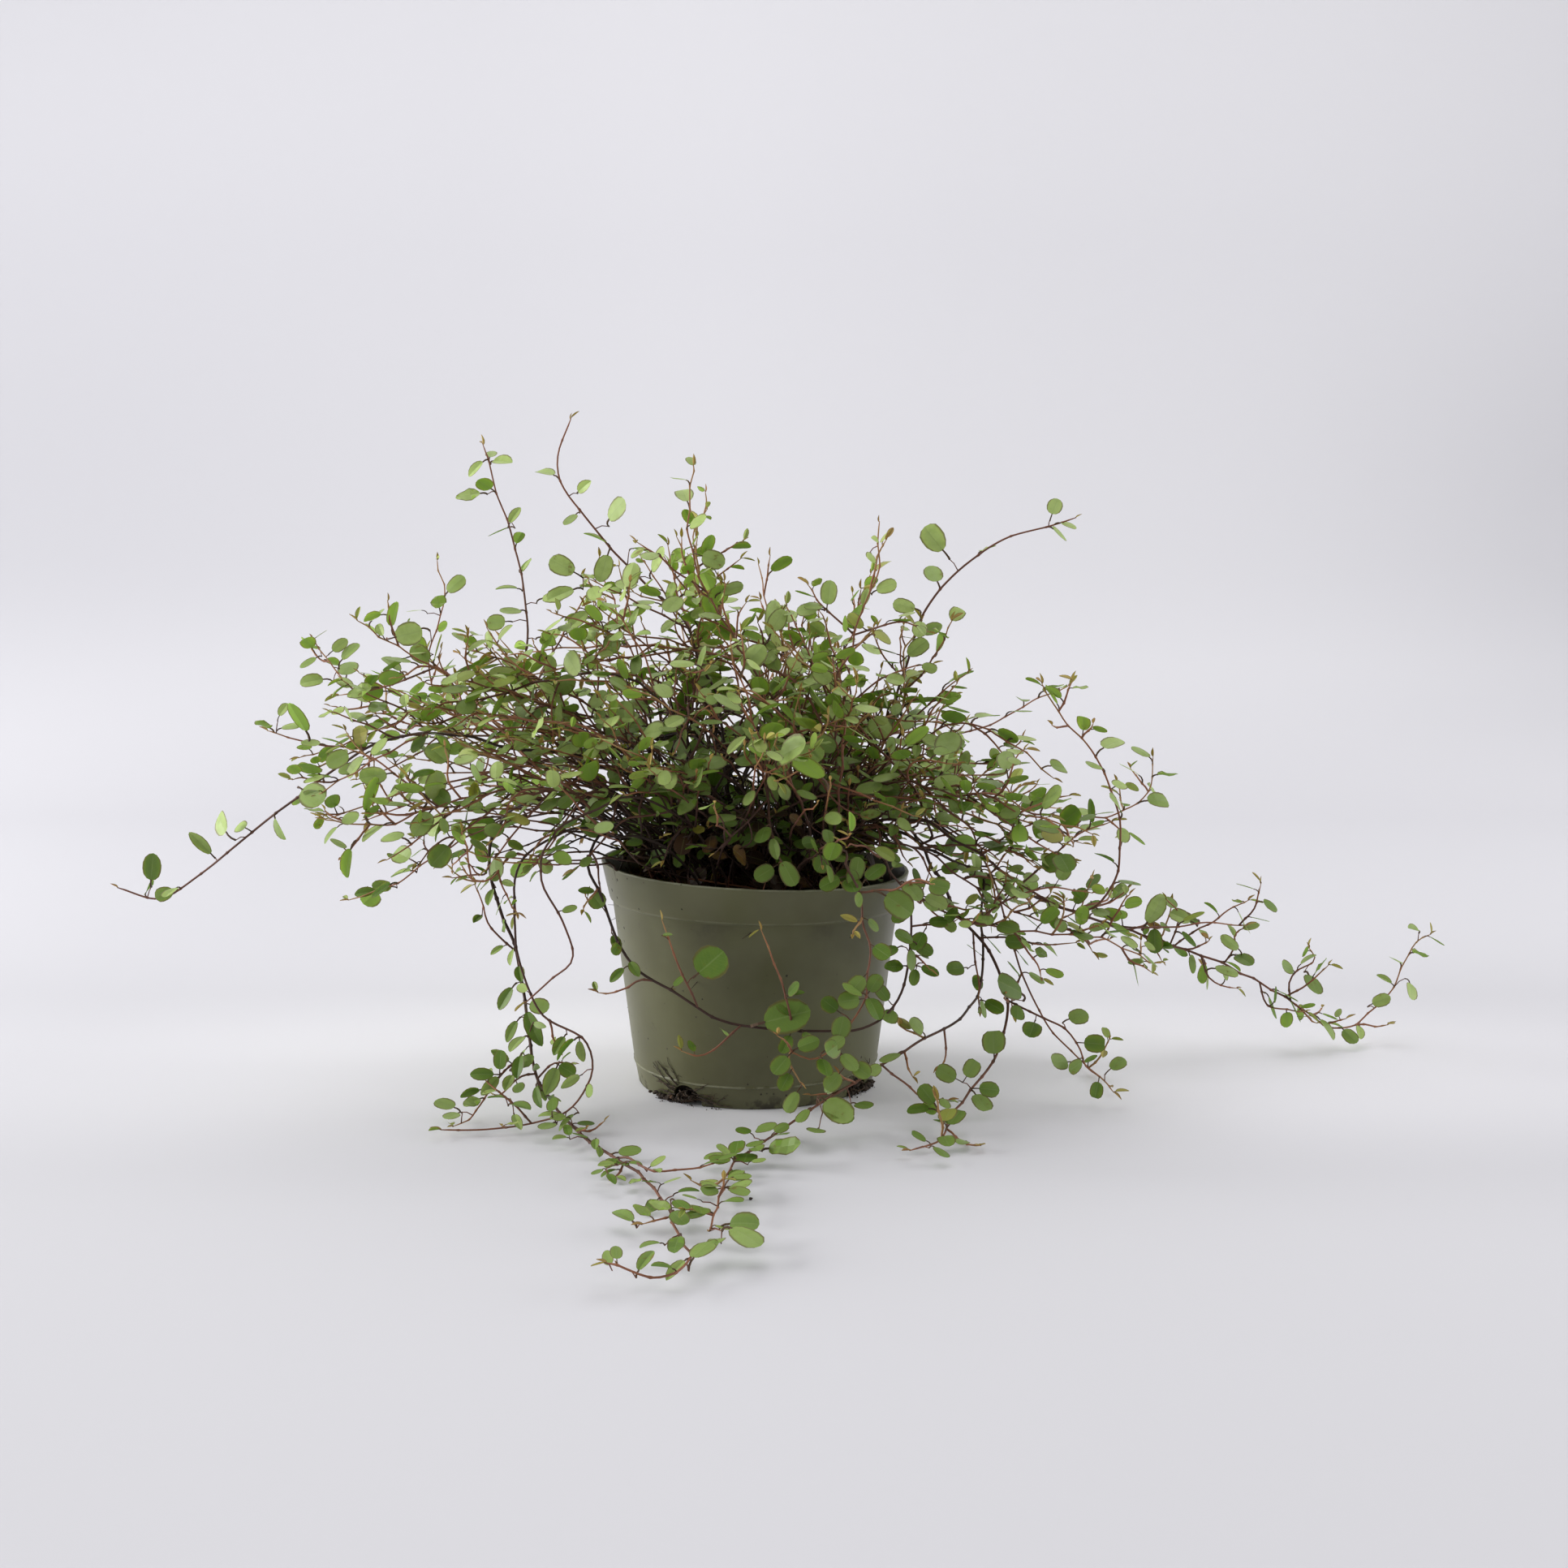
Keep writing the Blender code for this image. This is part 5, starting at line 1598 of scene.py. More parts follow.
plant("tall_shoot_middle", 0.54, (8, -8), [
    (16, -10, 107), (12, -15, 137), (-3, -20, 168), (-18, -22, 192), (-24, -24, 212),
    (-22, -28, 238)
], twigs=[
    [(-18, -22, 190), (-28, -22, 198), (-36, -22, 205), (-44, -22, 210)],
    [(-20, -22, 200), (-12, -20, 206), (-4, -20, 210)]
], leaves=[
    (-15, -24, 203, 9), (-8, -24, 192, 9, "broad"), (-30, -26, 186, 9, "round")
], spacing=8, leaf=(6.5, 9.5), sprays=0.5, spray=(12, 28), lift=(0.08, 0.2), branches=3,
      fresh=0.4)
plant("red_shoot", 0.48, (-5, 16), [
    (-10, 20, 108), (-22, 34, 158), (-24, 40, 195), (-26, 42, 212), (-20, 44, 224)
], twigs=[
    [(-22, 34, 165), (-32, 32, 180), (-38, 30, 192), (-46, 30, 204)],
    [(-24, 38, 190), (-14, 34, 198), (-6, 32, 204)],
    [(-23, 38, 185), (-32, 36, 196), (-38, 36, 206)]
], spacing=8, leaf=(6.5, 9), sprays=0.6, spray=(12, 28), lift=(0.08, 0.2), branches=4,
      oldest=0.35, fresh=0.6)
plant("tall_shoot_right", 0.48, (14, -16), [
    (22, -20, 108), (32, -25, 145), (36, -29, 175), (45, -32, 197), (46, -34, 217)
], twigs=[
    [(36, -29, 175), (46, -24, 178), (56, -20, 180), (66, -18, 176)],
    [(32, -25, 145), (44, -20, 156), (56, -16, 162), (68, -14, 164)],
    [(32, -25, 145), (24, -20, 160), (18, -16, 174), (12, -14, 186)],
    [(36, -29, 175), (30, -26, 182), (24, -24, 188), (20, -22, 194)]
], leaves=[
    (42, -34, 203, 7), (49, -32, 193, 8, "broad"), (28, -28, 191, 9), (9, -20, 181, 10, "broad"),
    (20, -22, 184, 8)
], spacing=9, leaf=(6.5, 9), sprays=0.4, spray=(10, 26), lift=(0.06, 0.16), branches=4,
      fresh=0.5)
plant("right_arching_shoot", 0.60, (18, 4), [
    (32, 5, 105), (54, 10, 127), (57, 12, 150), (66, 17, 182), (90, 20, 207), (127, 24, 220)
], twigs=[
    [(57, 12, 150), (66, 8, 160), (72, 4, 170), (76, 0, 180)],
    [(55, 10, 135), (66, 4, 146), (74, 0, 154), (82, -4, 160)],
    [(57, 12, 158), (50, 6, 166), (46, 2, 174)]
], leaves=[
    (58, 10, 185, 9, "broad"), (64, 8, 176, 9), (70, 18, 211, 12, "hollow"), (118, 22, 224, 9),
    (124, 24, 217, 7)
], youngest=0.3, tip=0.3, spacing=17, leaf=(8, 11), sprays=0.03, branches=3, leafiness=0.7,
      shapes=OVAL)
plant("crown_shoot_back_left", 0.48, (-14, 18), [
    (-25, 32, 110), (-45, 46, 150), (-60, 56, 185), (-66, 62, 205)
], sprays=0.5, branches=5)
plant("crown_shoot_back", 0.48, (2, 22), [
    (4, 36, 110), (8, 55, 150), (5, 70, 182), (0, 80, 202)
], sprays=0.6, branches=3, lift=(0.02, 0.10))
plant("crown_shoot_back_right", 0.48, (12, 17), [
    (20, 30, 110), (32, 46, 150), (42, 60, 180), (48, 70, 198)
], sprays=0.6, branches=4, lift=(0.02, 0.10))
plant("crown_shoot_front_left", 0.48, (-11, -9), [
    (-18, -16, 108), (-30, -24, 145), (-45, -30, 173), (-54, -36, 188)
], sprays=0.5, branches=4)
plant("crown_shoot_front", 0.48, (2, -20), [
    (6, -32, 108), (3, -45, 136), (-4, -52, 158), (-8, -58, 174)
], twigs=[
    [(4, -40, 116), (6, -46, 108), (8, -52, 101), (10, -58, 95)],
    [(4, -38, 113), (-2, -46, 108), (-8, -54, 104), (-14, -58, 98)]
], leaves=[
    (37, -55, 131, 13, "round"), (4, -58, 91, 8, "round"), (13, -60, 91, 10, "broad"),
    (8, -57, 99, 8)
], sprays=0.4, branches=3)


# ------------------------------
# Shoots to the left. Some reach out over the table, the others hang over the rim and trail
# along the table to the front.
plant("left_long_shoot", 0.60, (-22, -2), [
    (-36, -6, 112), (-62, -11, 127), (-93, -10, 133), (-125, -5, 137), (-150, -1, 131),
    (-178, 5, 112), (-196, 8, 99), (-220, 11, 80), (-238, 13, 69), (-256, 15, 73)
], twigs=[
    [(-150, -1, 131), (-162, 1, 131), (-173, 3, 132), (-191, 5, 137)],
    [(-62, -11, 127), (-78, -14, 112), (-94, -16, 104), (-112, -18, 98)],
    [(-125, -5, 137), (-134, -10, 146), (-146, -14, 152), (-156, -16, 158)],
    [(-140, -3, 134), (-152, -10, 142), (-162, -14, 146)]
], leaves=[
    (-181, 4, 139, 8), (-184, 4, 145, 6), (-171, -4, 112, 13, "round"),
    (-210, 8, 99, 11, "cupped"), (-221, 10, 93, 12, "long"), (-241, 14, 82, 12, "oval"),
    (-236, 12, 71, 8)
], fading=0.0, youngest=0.45, tip=0.36, spacing=12, leaf=(7.5, 10.5), sprays=0.45,
      thin_from=0.66, shapes=OVAL)
plant("left_back_shoot", 0.54, (-18, 12), [
    (-34, 27, 104), (-78, 45, 123), (-126, 60, 132), (-153, 70, 136), (-176, 78, 150),
    (-194, 88, 170)
], twigs=[
    [(-153, 70, 136), (-166, 60, 130), (-178, 52, 125), (-190, 46, 122)],
    [(-126, 60, 132), (-140, 50, 124), (-152, 42, 118), (-164, 36, 114)],
    [(-126, 60, 132), (-138, 50, 142), (-150, 42, 150), (-162, 36, 158)]
], leaves=[
    (-195, 85, 159, 8), (-194, 84, 147, 10), (-181, 85, 167, 8), (-176, 84, 163, 10)
], spacing=8, sprays=0.7, crown_sprays=0.8, crown_spray=(14, 32), lift=(-0.06, 0.03),
      branches=2, skirt=1, leaf=(7.2, 10.4), thin_from=0.85)
plant("left_rising_shoot", 0.48, (-16, -2), [
    (-26, -2, 114), (-50, -6, 136), (-80, -16, 149), (-123, -30, 166), (-145, -36, 181)
], twigs=[
    [(-118, -28, 164), (-132, -24, 158), (-146, -18, 154), (-158, -14, 152)]
], leaves=[
    (-137, -35, 178, 7, "folded"), (-122, -50, 177, 10, "round")
], spacing=8, sprays=0.7, crown_sprays=0.8, crown_spray=(14, 32), lift=(-0.05, 0.05),
      branches=2)
plant("left_tall_back_shoot", 0.54, (-10, 28), [
    (-30, 42, 103), (-80, 66, 128), (-122, 80, 134), (-142, 90, 146), (-144, 95, 164),
    (-138, 98, 186), (-141, 100, 204)
], leaves=[
    (-132, 98, 193, 10), (-151, 97, 181, 7), (-154, 96, 172, 13, "round"), (-146, 94, 158, 7)
], sprays=0.3, crown_sprays=0.6, lift=(-0.02, 0.06), branches=2, skirt=1)
plant("left_front_shoot", 0.54, (-20, -15), [
    (-34, -30, 108), (-60, -45, 120), (-85, -54, 120), (-112, -62, 116), (-130, -67, 110),
    (-150, -70, 112)
], twigs=[
    [(-50, -40, 116), (-52, -46, 106), (-58, -52, 98), (-64, -56, 92)],
    [(-60, -45, 120), (-68, -50, 109), (-74, -52, 99), (-82, -54, 91)],
    [(-72, -50, 120), (-82, -54, 110), (-90, -56, 100), (-96, -58, 92)],
    [(-85, -54, 120), (-96, -58, 112), (-106, -60, 104), (-112, -62, 95)],
    [(-100, -58, 118), (-112, -62, 110), (-122, -64, 102), (-130, -66, 97)],
    [(-112, -62, 116), (-124, -58, 124), (-136, -54, 132), (-148, -50, 136)]
], spacing=8, sprays=0.8, crown_sprays=0.8, lift=(-0.02, 0.08), branches=2, skirt=2)
plant("left_drooping_shoot", 0.48, (-28, 6), [
    (-36, 12, 98), (-62, 16, 107), (-95, 18, 101), (-125, 20, 88), (-145, 22, 74), (-166, 25, 66)
], twigs=[
    [(-62, 16, 107), (-76, 10, 98), (-90, 4, 92), (-106, 0, 88)],
    [(-50, 14, 104), (-62, 2, 98), (-72, -8, 94), (-82, -14, 88)],
    [(-95, 18, 101), (-108, 8, 102), (-120, 0, 100), (-132, -6, 96)]
], leaves=[
    (-160, 25, 69, 9), (-145, 24, 77, 10), (-152, 23, 72, 8)
], sprays=0.7, spray=(12, 28), skirt=3, thin_from=0.8)
# Its leaves take darker tints than the crown's: painted shade under the crown.
plant("left_hanging_shoot", 0.66, (-30, -8), [
    (-38, -12, 98), (-60, -21, 113), (-84, -26, 113), (-99, -22, 100), (-100, -22, 82),
    (-91, -25, 57), (-86, -32, 33), (-82, -46, 17), (-73, -62, 8), (-62, -80, 3), (-50, -102, 2.5),
    (-36, -126, 2.5), (-25, -158, 3), (-19, -190, 4), (-15, -212, 7), (-24, -223, 7),
    (-38, -219, 9)
], twigs=[
    [(-90, -28, 57), (-96, -27, 61), (-101, -26, 67), (-103, -25, 74), (-106, -24, 81)],
    [(-84, -46, 21), (-88, -51, 19), (-94, -55, 14), (-99, -60, 6), (-102, -66, 3), (-107, -73, 2)],
    [(-79, -50, 16), (-86, -53, 14), (-93, -55, 8), (-96, -58, 10)],
    [(-79, -52, 17), (-74, -52, 19), (-67, -52, 19)],
    [(-47, -111, 5), (-40, -120, 6), (-30, -133, 6), (-20, -131, 6), (-13, -126, 6), (-8, -118, 5)],
    [(-22, -160, 5), (-22, -173, 6), (-31, -181, 6)]
], leaves=[
    (-80, -40, 38, 8, "round"), (-82, -44, 29, 15, "long"), (-94, -36, 39, 10, "folded"),
    (-92, -42, 28, 9), (-88, -33, 48, 8, "folded"), (-76, -48, 31, 7), (-103, -64, 12, 8),
    (-68, -54, 17, 7, "round"), (-77, -56, 9, 8), (-73, -98, 5, 6), (-57, -133, 6, 6),
    (-51, -137, 6, 5), (-44, -140, 6, 7), (-38, -170, 6, 11, "long"), (-20, -177, 6, 8),
    (-12, -206, 7, 10, "broad"), (-20, -199, 6, 8), (-29, -200, 6, 7), (-27, -213, 8, 8),
    (-38, -211, 7, 5), (-53, -103, 5, 6), (-37, -126, 6, 5), (-30, -124, 6, 6), (-32, -144, 6, 5),
    (-64, -87, 5, 5), (-69, -79, 7, 6), (-27, -169, 7, 7), (-20, -169, 7, 8), (-18, -152, 6, 7),
    (-24, -142, 6, 6), (-100, -52, 14, 8, "oval"), (-107, -75, 6, 7, "round"),
    (-112, -61, 6, 8, "round"), (-90, -54, 12, 8, "folded"), (-84, -50, 19, 8),
    (-94, -50, 22, 8, "folded"), (-73, -56, 7, 7), (-105, -27, 68, 7, "folded"),
    (-98, -27, 56, 6, "folded"), (-100, -26, 76, 8, "folded"), (-88, -52, 27, 11, "long"),
    (-86, -55, 18, 10, "folded"), (-92, -58, 22, 7, "round"), (-99, -62, 18, 9, "folded"),
    (-96, -62, 13, 9, "folded"), (-73, -68, 16, 11, "folded"), (-85, -60, 12, 7),
    (-78, -66, 10, 10, "long")
], spacing=10, leaf=(5.5, 8), sprays=0.12, spray=(8, 16), skirt=3, leafiness=0.5,
      youngest=0.25, tip=0.32, tint=(0, 0.7), look=(-0.3, 0, 0), shapes=SLIM, fading=0.0)
plant("left_hanging_short_shoot", 0.48, (-14, -26), [
    (-22, -38, 106), (-50, -58, 118), (-70, -68, 108), (-75, -70, 92), (-67, -71, 76),
    (-64, -70, 62), (-72, -68, 54), (-81, -68, 46)
], spacing=16, leaf=(5, 7), sprays=0.10, spray=(6, 10), thin_from=0.35, leafiness=0.6,
      youngest=0.4, tip=0.32, shapes=SLIM)
plant("left_looping_shoot", 0.48, (-26, -20), [
    (-40, -34, 100), (-68, -50, 104), (-84, -55, 92), (-86, -56, 70), (-77, -60, 40),
    (-60, -67, 32), (-57, -70, 21), (-64, -77, 10), (-78, -72, 3), (-94, -78, 2.5), (-110, -80, 3)
], twigs=[
    [(-78, -72, 3), (-84, -70, 8), (-92, -66, 13), (-98, -62, 17)]
], leaves=[
    (-82, -72, 9, 9, "folded"), (-73, -76, 7, 8, "folded"), (-72, -84, 5, 9, "oval"),
    (-71, -74, 10, 8), (-67, -78, 5, 8), (-66, -72, 18, 9, "long"), (-70, -66, 29, 8, "folded"),
    (-62, -68, 27, 8, "long"), (-84, -74, 4, 9, "long")
], spacing=15, leaf=(5.5, 8), sprays=0.15, spray=(8, 18), skirt=1, leafiness=0.6, youngest=0.3,
      tip=0.3, look=(-0.3, 0, 0), shapes=SLIM)
# Its leaves take only the darkest tints: painted shade under the crown, in front of the pot.
plant("front_loop_shoot", 0.54, (-18, -27), [
    (-32, -40, 98), (-50, -47, 104), (-60, -50, 96), (-54, -56, 79), (-43, -62, 59),
    (-23, -70, 47), (-5, -73, 39), (16, -75, 38), (38, -71, 37), (52, -62, 46), (57, -57, 65),
    (57, -54, 84)
], twigs=[
    [(-55, -52, 78), (-58, -53, 78), (-61, -53, 82)],
    [(-37, -64, 53), (-41, -64, 53), (-46, -63, 50), (-50, -62, 48), (-56, -61, 48)],
    [(-20, -72, 46), (-26, -72, 60), (-32, -72, 77)],
    [(-6, -75, 39), (-9, -76, 35), (-14, -77, 31), (-19, -78, 29), (-25, -78, 31)],
    [(14, -77, 39), (13, -78, 46), (11, -78, 54), (7, -77, 64), (3, -75, 74)],
    [(57, -57, 72), (63, -56, 72), (70, -53, 71), (75, -50, 73)],
    [(55, -60, 62), (60, -60, 60), (64, -60, 56)]
], leaves=[
    (-14, -76, 63, 16, "round"), (15, -79, 53, 6, "round"), (13, -76, 43, 17, "oval"),
    (-49, -60, 65, 8, "folded"), (-42, -65, 57, 7), (-49, -66, 55, 7), (49, -66, 40, 8),
    (64, -58, 55, 7), (58, -60, 53, 7), (60, -58, 66, 8), (50, -63, 58, 8), (12, -78, 33, 7),
    (-56, -55, 80, 7, "cupped"), (-61, -54, 84, 6, "folded"), (-29, -75, 72, 4, "young"),
    (67, -55, 72, 7), (72, -53, 75, 7), (54, -62, 68, 8), (57, -62, 60, 8), (62, -57, 63, 7),
    (53, -60, 76, 8), (46, -68, 50, 8), (48, -66, 64, 8)
], fading=0.0, tint=(0.0, 0.25), youngest=0.7, tip=0.42, spacing=16, leaf=(5, 6.5), sprays=0.0,
      branches=0, leafiness=0.3, shapes=OVAL)


# ------------------------------
# Shoots to the right. The longest reaches out and comes down to the table; others hang beside
# the pot or pass in front of it.
# The shoots that hang beside and before the pot take darker tints than the crown's: painted shade.
plant("front_right_hanging_shoot", 0.48, (13, -28), [
    (23, -42, 100), (33, -60, 99), (39, -69, 82), (41, -76, 62), (38, -82, 48), (30, -84, 36),
    (21, -85, 30), (13, -86, 32), (17, -87, 22)
], leaves=[
    (24, -59, 94, 10, "oval"), (37, -61, 93, 9, "broad"), (35, -63, 86, 8, "round"),
    (27, -62, 88, 8), (44, -62, 92, 9), (27, -83, 49, 7), (33, -83, 50, 8), (42, -82, 47, 9),
    (43, -80, 56, 7), (31, -85, 41, 8), (29, -87, 36, 8, "oval"), (20, -86, 36, 8, "domed"),
    (34, -87, 29, 8), (38, -86, 26, 7), (28, -86, 22, 8), (14, -87, 15, 8)
], fading=0.0, spacing=9, leaf=(6, 9), sprays=0.35, spray=(8, 16), leafiness=0.8, shapes=ROUND,
      tint=(0.0, 0.45), look=(0, -0.3, 0))
plant("right_hanging_shoot", 0.66, (27, -5), [
    (36, -7, 97), (56, -10, 100), (69, -12, 86), (78, -12, 68), (90, -18, 54), (96, -28, 36),
    (91, -40, 20), (82, -50, 11), (71, -68, 4), (65, -92, 2.5), (54, -103, 3)
], twigs=[
    [(98, -30, 40), (104, -33, 34), (111, -34, 31), (117, -36, 28), (122, -38, 21), (124, -40, 15),
     (130, -42, 11), (134, -44, 6)],
    [(84, -20, 62), (84, -25, 52), (85, -27, 43), (85, -30, 35)],
    [(88, -14, 62), (98, -22, 60), (108, -25, 58), (122, -26, 59)]
], leaves=[
    (98, -36, 44, 13, "broad"), (99, -26, 59, 9), (76, -28, 49, 8), (90, -38, 37, 8),
    (89, -44, 25, 9), (104, -38, 28, 8), (121, -40, 34, 8), (114, -42, 17, 8), (135, -45, 17, 8),
    (86, -60, 12, 8), (67, -65, 21, 8), (72, -76, 6, 9), (61, -72, 15, 8), (79, -62, 20, 7),
    (66, -112, 5, 7)
], youngest=0.2, tip=0.3, spacing=10, leaf=(5.8, 8.6), sprays=0.20, spray=(10, 22), skirt=1,
      kink=0.4, tint=(0, 0.5), look=(0, -0.5, 0), leafiness=0.48, shapes=ROUND)
plant("right_to_front_shoot", 0.54, (27, 20), [
    (40, 26, 98), (65, 26, 101), (87, 19, 86), (90, 8, 58), (88, -8, 38), (75, -35, 30),
    (58, -52, 26), (44, -64, 20), (22, -79, 11), (7, -92, 4), (-5, -112, 2.5), (-9, -150, 3),
    (-11, -184, 5)
], twigs=[
    [(48, -64, 21), (54, -68, 17), (61, -71, 12), (70, -74, 12)]
], leaves=[
    (30, -88, 12, 12, "round"), (13, -112, 7, 12, "wavy"), (10, -95, 6, 6), (30, -92, 5, 6),
    (-2, -139, 6, 6), (2, -110, 6, 6), (-10, -115, 6, 6), (-1, -183, 6, 9),
    (1, -196, 7, 12, "broad"), (-8, -197, 6, 7), (-12, -152, 6, 6), (-18, -158, 6, 5),
    (60, -70, 6, 8), (10, -90, 6, 6), (22, -95, 6, 7), (32, -80, 6, 9), (-3, -91, 6, 6),
    (18, -84, 8, 7), (40, -76, 8, 7), (-12, -149, 6, 6), (-10, -123, 6, 8), (-5, -108, 6, 7),
    (3, -120, 5, 5), (-4, -136, 5, 6), (-16, -167, 6, 7)
], youngest=0.2, tip=0.32, spacing=10, leaf=(6.5, 9), sprays=0.30, spray=(8, 16), skirt=1,
      kink=0.5, tint=(0, 0.6), look=(0, -0.3, 0), leafiness=0.6, shapes=ROUND)
plant("right_long_shoot", 0.60, (26, 8), [
    (38, 11, 95), (52, 13, 98), (71, 12, 90), (101, 15, 74), (134, 20, 60), (170, 28, 47),
    (197, 32, 36), (224, 36, 20), (241, 40, 9), (252, 47, 9), (270, 55, 22), (281, 62, 40),
    (289, 64, 44)
], twigs=[
    [(145, 12, 57), (153, 13, 57), (170, 16, 57), (183, 19, 58), (195, 23, 56), (200, 24, 56)],
    [(169, 24, 47), (171, 24, 55), (172, 24, 61), (166, 23, 67)],
    [(171, 28, 46), (181, 30, 53), (187, 32, 55), (194, 34, 60), (203, 36, 64)],
    [(196, 24, 56), (202, 24, 62), (204, 25, 69), (205, 25, 73)],
    [(193, 29, 38), (196, 30, 45), (197, 31, 51), (201, 31, 54)],
    [(182, 25, 41), (185, 24, 34), (192, 25, 30), (197, 27, 29)],
    [(206, 30, 27), (210, 28, 22), (220, 30, 19), (227, 32, 18)],
    [(222, 37, 22), (222, 39, 29), (225, 40, 33), (233, 42, 38), (230, 41, 43)]
], leaves=[
    (163, 20, 65, 16, "long"), (161, 20, 52, 10), (172, 22, 59, 9), (193, 27, 48, 9),
    (219, 34, 36, 8), (230, 36, 27, 13, "oval"), (253, 42, 7, 10, "long"), (261, 44, 20, 8),
    (275, 48, 23, 8), (277, 52, 50, 9, "folded")
], spacing=7.5, leaf=(7, 10), leafiness=0.72, sprays=0.5, spray=(10, 24), thin_from=0.85)
plant("right_thin_shoot", 0.42, (21, -22), [
    (32, -36, 97), (45, -48, 96), (60, -49, 80), (81, -48, 71), (104, -46, 67), (129, -45, 64),
    (149, -40, 54)
], twigs=[
    [(81, -48, 71), (94, -48, 80), (108, -48, 84), (124, -48, 82)]
], spacing=7, leaf=(7, 10), sprays=0.85, spray=(14, 32), skirt=2)
plant("right_curling_shoot", 0.42, (21, -14), [
    (30, -22, 100), (55, -28, 97), (78, -28, 83), (92, -26, 75), (110, -25, 67), (122, -25, 71),
    (128, -25, 84)
], twigs=[
    [(60, -28, 94), (76, -30, 97), (92, -32, 97), (108, -33, 94)]
], spacing=7, sprays=0.85, spray=(14, 30), leaf=(7, 10), skirt=2)
plant("right_turning_up_shoot", 0.54, (27, -14), [
    (40, -18, 104), (70, -30, 102), (100, -35, 84), (121, -37, 73), (133, -36, 82),
    (136, -35, 104), (127, -35, 130), (114, -35, 145), (106, -35, 158)
], twigs=[
    [(100, -35, 84), (112, -34, 94), (122, -32, 102), (134, -30, 106)],
    [(85, -32, 94), (96, -32, 102), (110, -32, 108)]
], spacing=9, sprays=0.3, leaf=(7, 10), skirt=2)
plant("right_back_shoot", 0.54, (20, 26), [
    (34, 34, 100), (60, 44, 108), (90, 54, 106), (127, 65, 95), (155, 74, 95), (170, 80, 105),
    (172, 84, 119)
], twigs=[
    [(90, 54, 106), (104, 50, 98), (120, 48, 92), (136, 46, 86)]
], spacing=9, sprays=0.45, lift=(-0.08, 0.02), skirt=2)
plant("right_rising_shoot", 0.48, (18, 12), [
    (32, 20, 108), (66, 35, 127), (100, 48, 138), (131, 60, 151)
], twigs=[
    [(60, 32, 124), (76, 30, 112), (92, 26, 104), (110, 24, 98)]
], spacing=9, thin_from=0.7, sprays=0.35, crown_sprays=0.45, lift=(-0.06, 0.02), skirt=2)
plant("right_high_shoot", 0.48, (22, -4), [
    (33, -3, 110), (59, -10, 132), (82, -18, 142), (98, -25, 134), (112, -30, 122)
], leaves=[
    (70, -40, 133, 12, "round")
], sprays=0.4, branches=1, skirt=1)
plant("right_low_shoot", 0.48, (21, -9), [
    (36, -15, 114), (67, -33, 119), (93, -46, 114), (122, -56, 105)
], twigs=[
    [(80, -38, 117), (92, -44, 108), (104, -48, 100), (116, -50, 94)],
    [(62, -30, 118), (78, -34, 106), (92, -36, 98), (106, -38, 90)]
], spacing=7, sprays=0.9, crown_sprays=0.8, spray=(14, 34), lift=(-0.08, 0.02), skirt=2)
# Its leaves take darker tints than the crown's: painted shade under the crown.
plant("right_floor_shoot", 0.48, (25, 30), [
    (38, 38, 98), (60, 42, 101), (85, 42, 90), (98, 40, 70), (109, 30, 35), (118, 24, 16),
    (127, 16, 6), (132, 4, 3), (136, -26, 3)
], spacing=13, leaf=(6.5, 9), sprays=0.10, spray=(10, 20), kink=0.4, tint=(0, 0.5),
      look=(0, -0.4, 0), leafiness=0.6, shapes=ROUND)


# ------------------------------
# Shoots to the back. Short and leafy, they fill out the plant behind, and one hangs to the
# table.
plant("back_hanging_shoot", 0.60, (-5, 33), [
    (-8, 48, 98), (-12, 70, 100), (-15, 82, 82), (-12, 88, 55), (-8, 95, 28), (-4, 112, 8),
    (2, 136, 3), (8, 162, 4)
], sprays=0.4, skirt=1)
for name, foot, route in (
        ("back_right_shoot", (7, 30), [
            (14, 46, 104), (26, 75, 115), (40, 105, 109), (52, 132, 92), (58, 152, 82)]),
        ("back_left_shoot", (-20, 24), [
            (-32, 40, 112), (-55, 70, 122), (-80, 100, 114), (-100, 126, 100), (-112, 146, 93)]),
        ("back_far_right_shoot", (15, 32), [
            (30, 48, 106), (60, 72, 116), (92, 96, 108), (120, 116, 96), (138, 128, 90)]),
        ("back_rising_shoot", (0, 28), [
            (0, 52, 122), (3, 82, 146), (7, 106, 158)]),
        ("back_left_rising_shoot", (-12, 24), [
            (-28, 52, 124), (-50, 82, 146), (-67, 104, 154)]),
        ("back_right_rising_shoot", (9, 24), [
            (24, 54, 124), (44, 82, 142), (60, 100, 149)])):
    plant(name, 0.48, foot, route, sprays=0.5, skirt=1)

forget(leaf_shapes)
forget(peat_bits)


# ------------------------------
# Studio. A pale seamless paper sweep with painted shade and painted light on it, a wide soft
# light overhead and a little behind, smaller ones at both sides, the left one brighter, and the
# camera 11 cm above the pot's rim.
SWEEP_HALF_WIDTH = 4.5
SWEEP_FRONT = -2.2
SWEEP_BACK = 0.75
SWEEP_BEND = 0.55       # radius of the bend behind
SWEEP_TOP = 2.4
BEND_STEPS = 24
WORLD_COLOUR = (1.0, 0.985, 0.985, 1)
WORLD_STRENGTH = 0.34
CAMERA_PLACE = (0.0112, -0.700, 0.199)
CAMERA_TILT = radians(83.28)
FOCAL_LENGTH = 41.53
SENSOR_WIDTH = 36.0


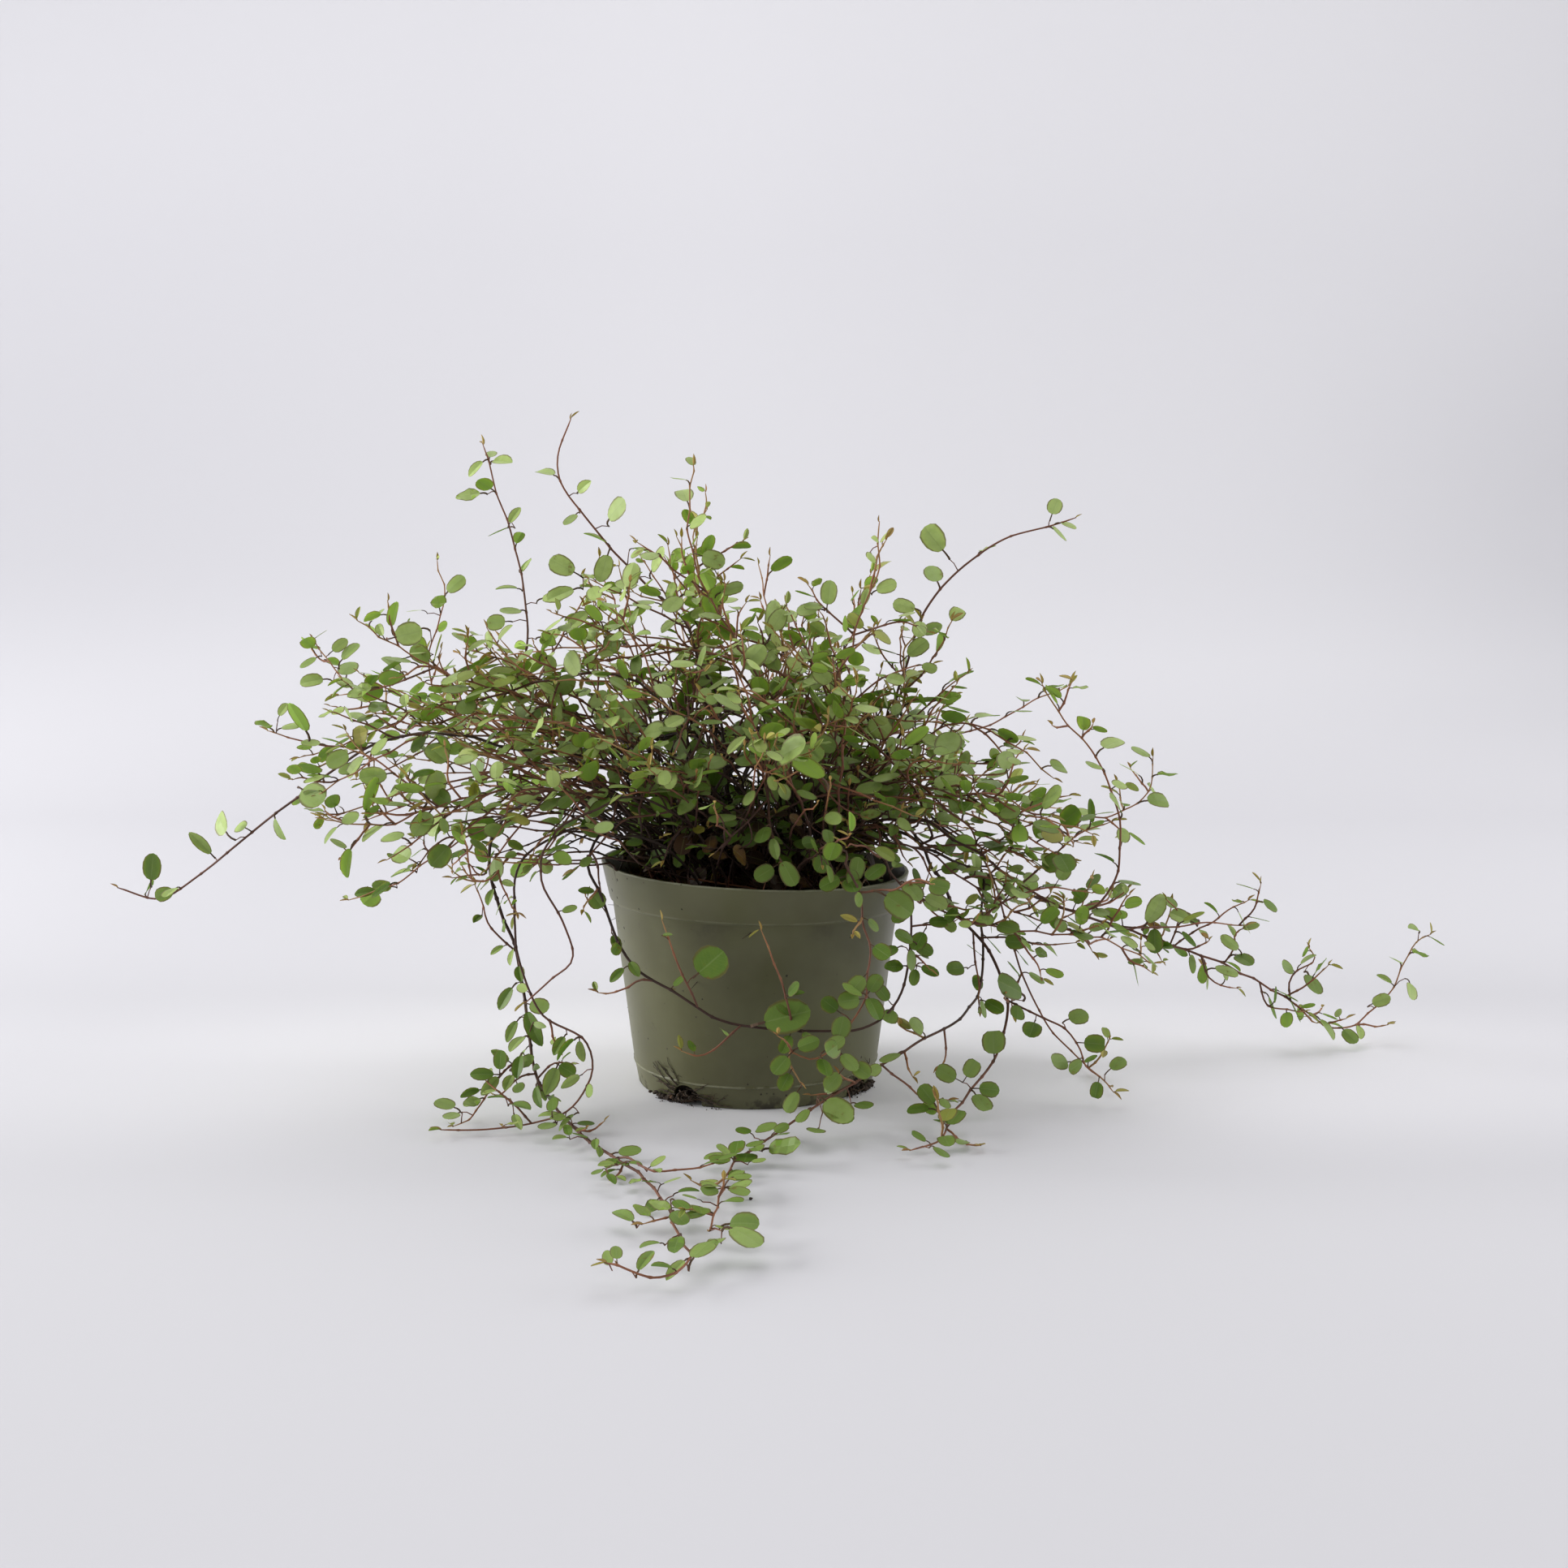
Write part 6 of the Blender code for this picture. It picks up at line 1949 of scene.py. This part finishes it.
def sweep_finish():
    """Matt pale paper with painted shade at the sides, in the bend and under the lamps, and painted
    light around the pot.
    """
    finish = Finish("paper_sweep")
    x, y, z = finish.parts(finish.position)
    # Painted shade: the paper is darker in the bend, at the left and low on the right.
    bend = finish.smooth(z, 0.0, 0.22) * finish.smooth(z, 0.75, 0.22)
    left = finish.smooth(x, 0.0, -0.35)
    right = finish.smooth(x, 0.35, 0.95) * finish.smooth(z, 0.0, 0.08)
    right = right * finish.smooth(z, 0.6, 0.25)
    # Painted light: paler floor beside the pot, where the plant's shadow falls, and paler backdrop
    # behind it.
    beside = finish.smooth(abs(y - 0.015), 0.14, 0.02) * finish.smooth(x, 0.55, 0.15)
    beside = beside * (finish.smooth(x, -0.32, -0.04) * 0.8 + 0.2)
    behind = finish.smooth(z, 0.0, 0.12) * finish.smooth(abs(x - 0.17), 1.05, 0.3)
    shade = bend * 0.60 + left * 0.33 + right * 0.5
    colour = finish.blend(shade, (0.640, 0.636, 0.667), (0.500, 0.497, 0.527))
    colour = finish.blend(behind * 0.3, colour, (0.800, 0.796, 0.826))
    colour = finish.blend(beside, colour, (0.865, 0.858, 0.895))
    # Painted shade: darker floor out of the camera's view, under the pools of light from the side
    # lamps.
    painted_shade_under_lamps = finish.smooth(abs(x) - (y + 0.7) * 0.45, 0.1, 0.7)
    painted_shade_under_lamps = painted_shade_under_lamps * finish.smooth(abs(x), 2.4, 1.4)
    colour = finish.blend(painted_shade_under_lamps, colour, (0.380, 0.378, 0.395))
    return finish.shaded("ShaderNodeBsdfDiffuse", color=colour)


def paper_sweep():
    """A strip of paper that lies flat, bends up behind the plant and stands."""
    bm = bmesh.new()
    section = [(SWEEP_FRONT, 0.0), (-0.6, 0.0), (0.0, 0.0), (SWEEP_BACK, 0.0)]
    for step in range(1, BEND_STEPS + 1):
        turn = step * pi / (2 * BEND_STEPS)
        section.append((SWEEP_BACK + SWEEP_BEND * sin(turn), SWEEP_BEND * (1 - cos(turn))))
    section.append((SWEEP_BACK + SWEEP_BEND, SWEEP_TOP))
    rows = [[bm.verts.new((x, y, z)) for x in (-SWEEP_HALF_WIDTH, SWEEP_HALF_WIDTH)]
            for y, z in section]
    for row, after in zip(rows, rows[1:]):
        bm.faces.new((row[0], row[1], after[1], after[0]))
    sweep = show("paper_sweep", new_mesh("paper_sweep", bm, 40), sweep_finish())


def soft_box(name, place, aim, size, power):
    light = bpy.data.lights.new(name, "AREA")
    light.shape = "RECTANGLE"
    light.size, light.size_y = size
    light.energy = power
    lamp = bpy.data.objects.new(name, light)
    lamp.location = place
    lamp.rotation_euler = (Vector(aim) - Vector(place)).to_track_quat("-Z", "Y").to_euler()
    bpy.context.scene.collection.objects.link(lamp)


paper_sweep()
soft_box("overhead_light", (0, 0.60, 1.65), (0, 0.0, 0.1), (2.4, 1.7), 16.5)
soft_box("left_light", (-1.8, -0.05, 0.60), (0, -0.32, 0.1), (1.3, 1.0), 44)
soft_box("right_light", (1.8, -0.05, 0.60), (0, -0.25, 0.1), (1.3, 1.0), 19)

world = bpy.data.worlds.new("studio")
bpy.context.scene.world = world
world.use_nodes = True
background = world.node_tree.nodes["Background"].inputs
background[0].default_value = WORLD_COLOUR
background[1].default_value = WORLD_STRENGTH

lens = bpy.data.cameras.new("camera")
lens.lens = FOCAL_LENGTH
lens.sensor_width = SENSOR_WIDTH
camera = bpy.data.objects.new("camera", lens)
camera.location = CAMERA_PLACE
camera.rotation_euler = (CAMERA_TILT, 0, 0)
bpy.context.scene.collection.objects.link(camera)
bpy.context.scene.camera = camera
bpy.context.scene.view_settings.view_transform = "Standard"
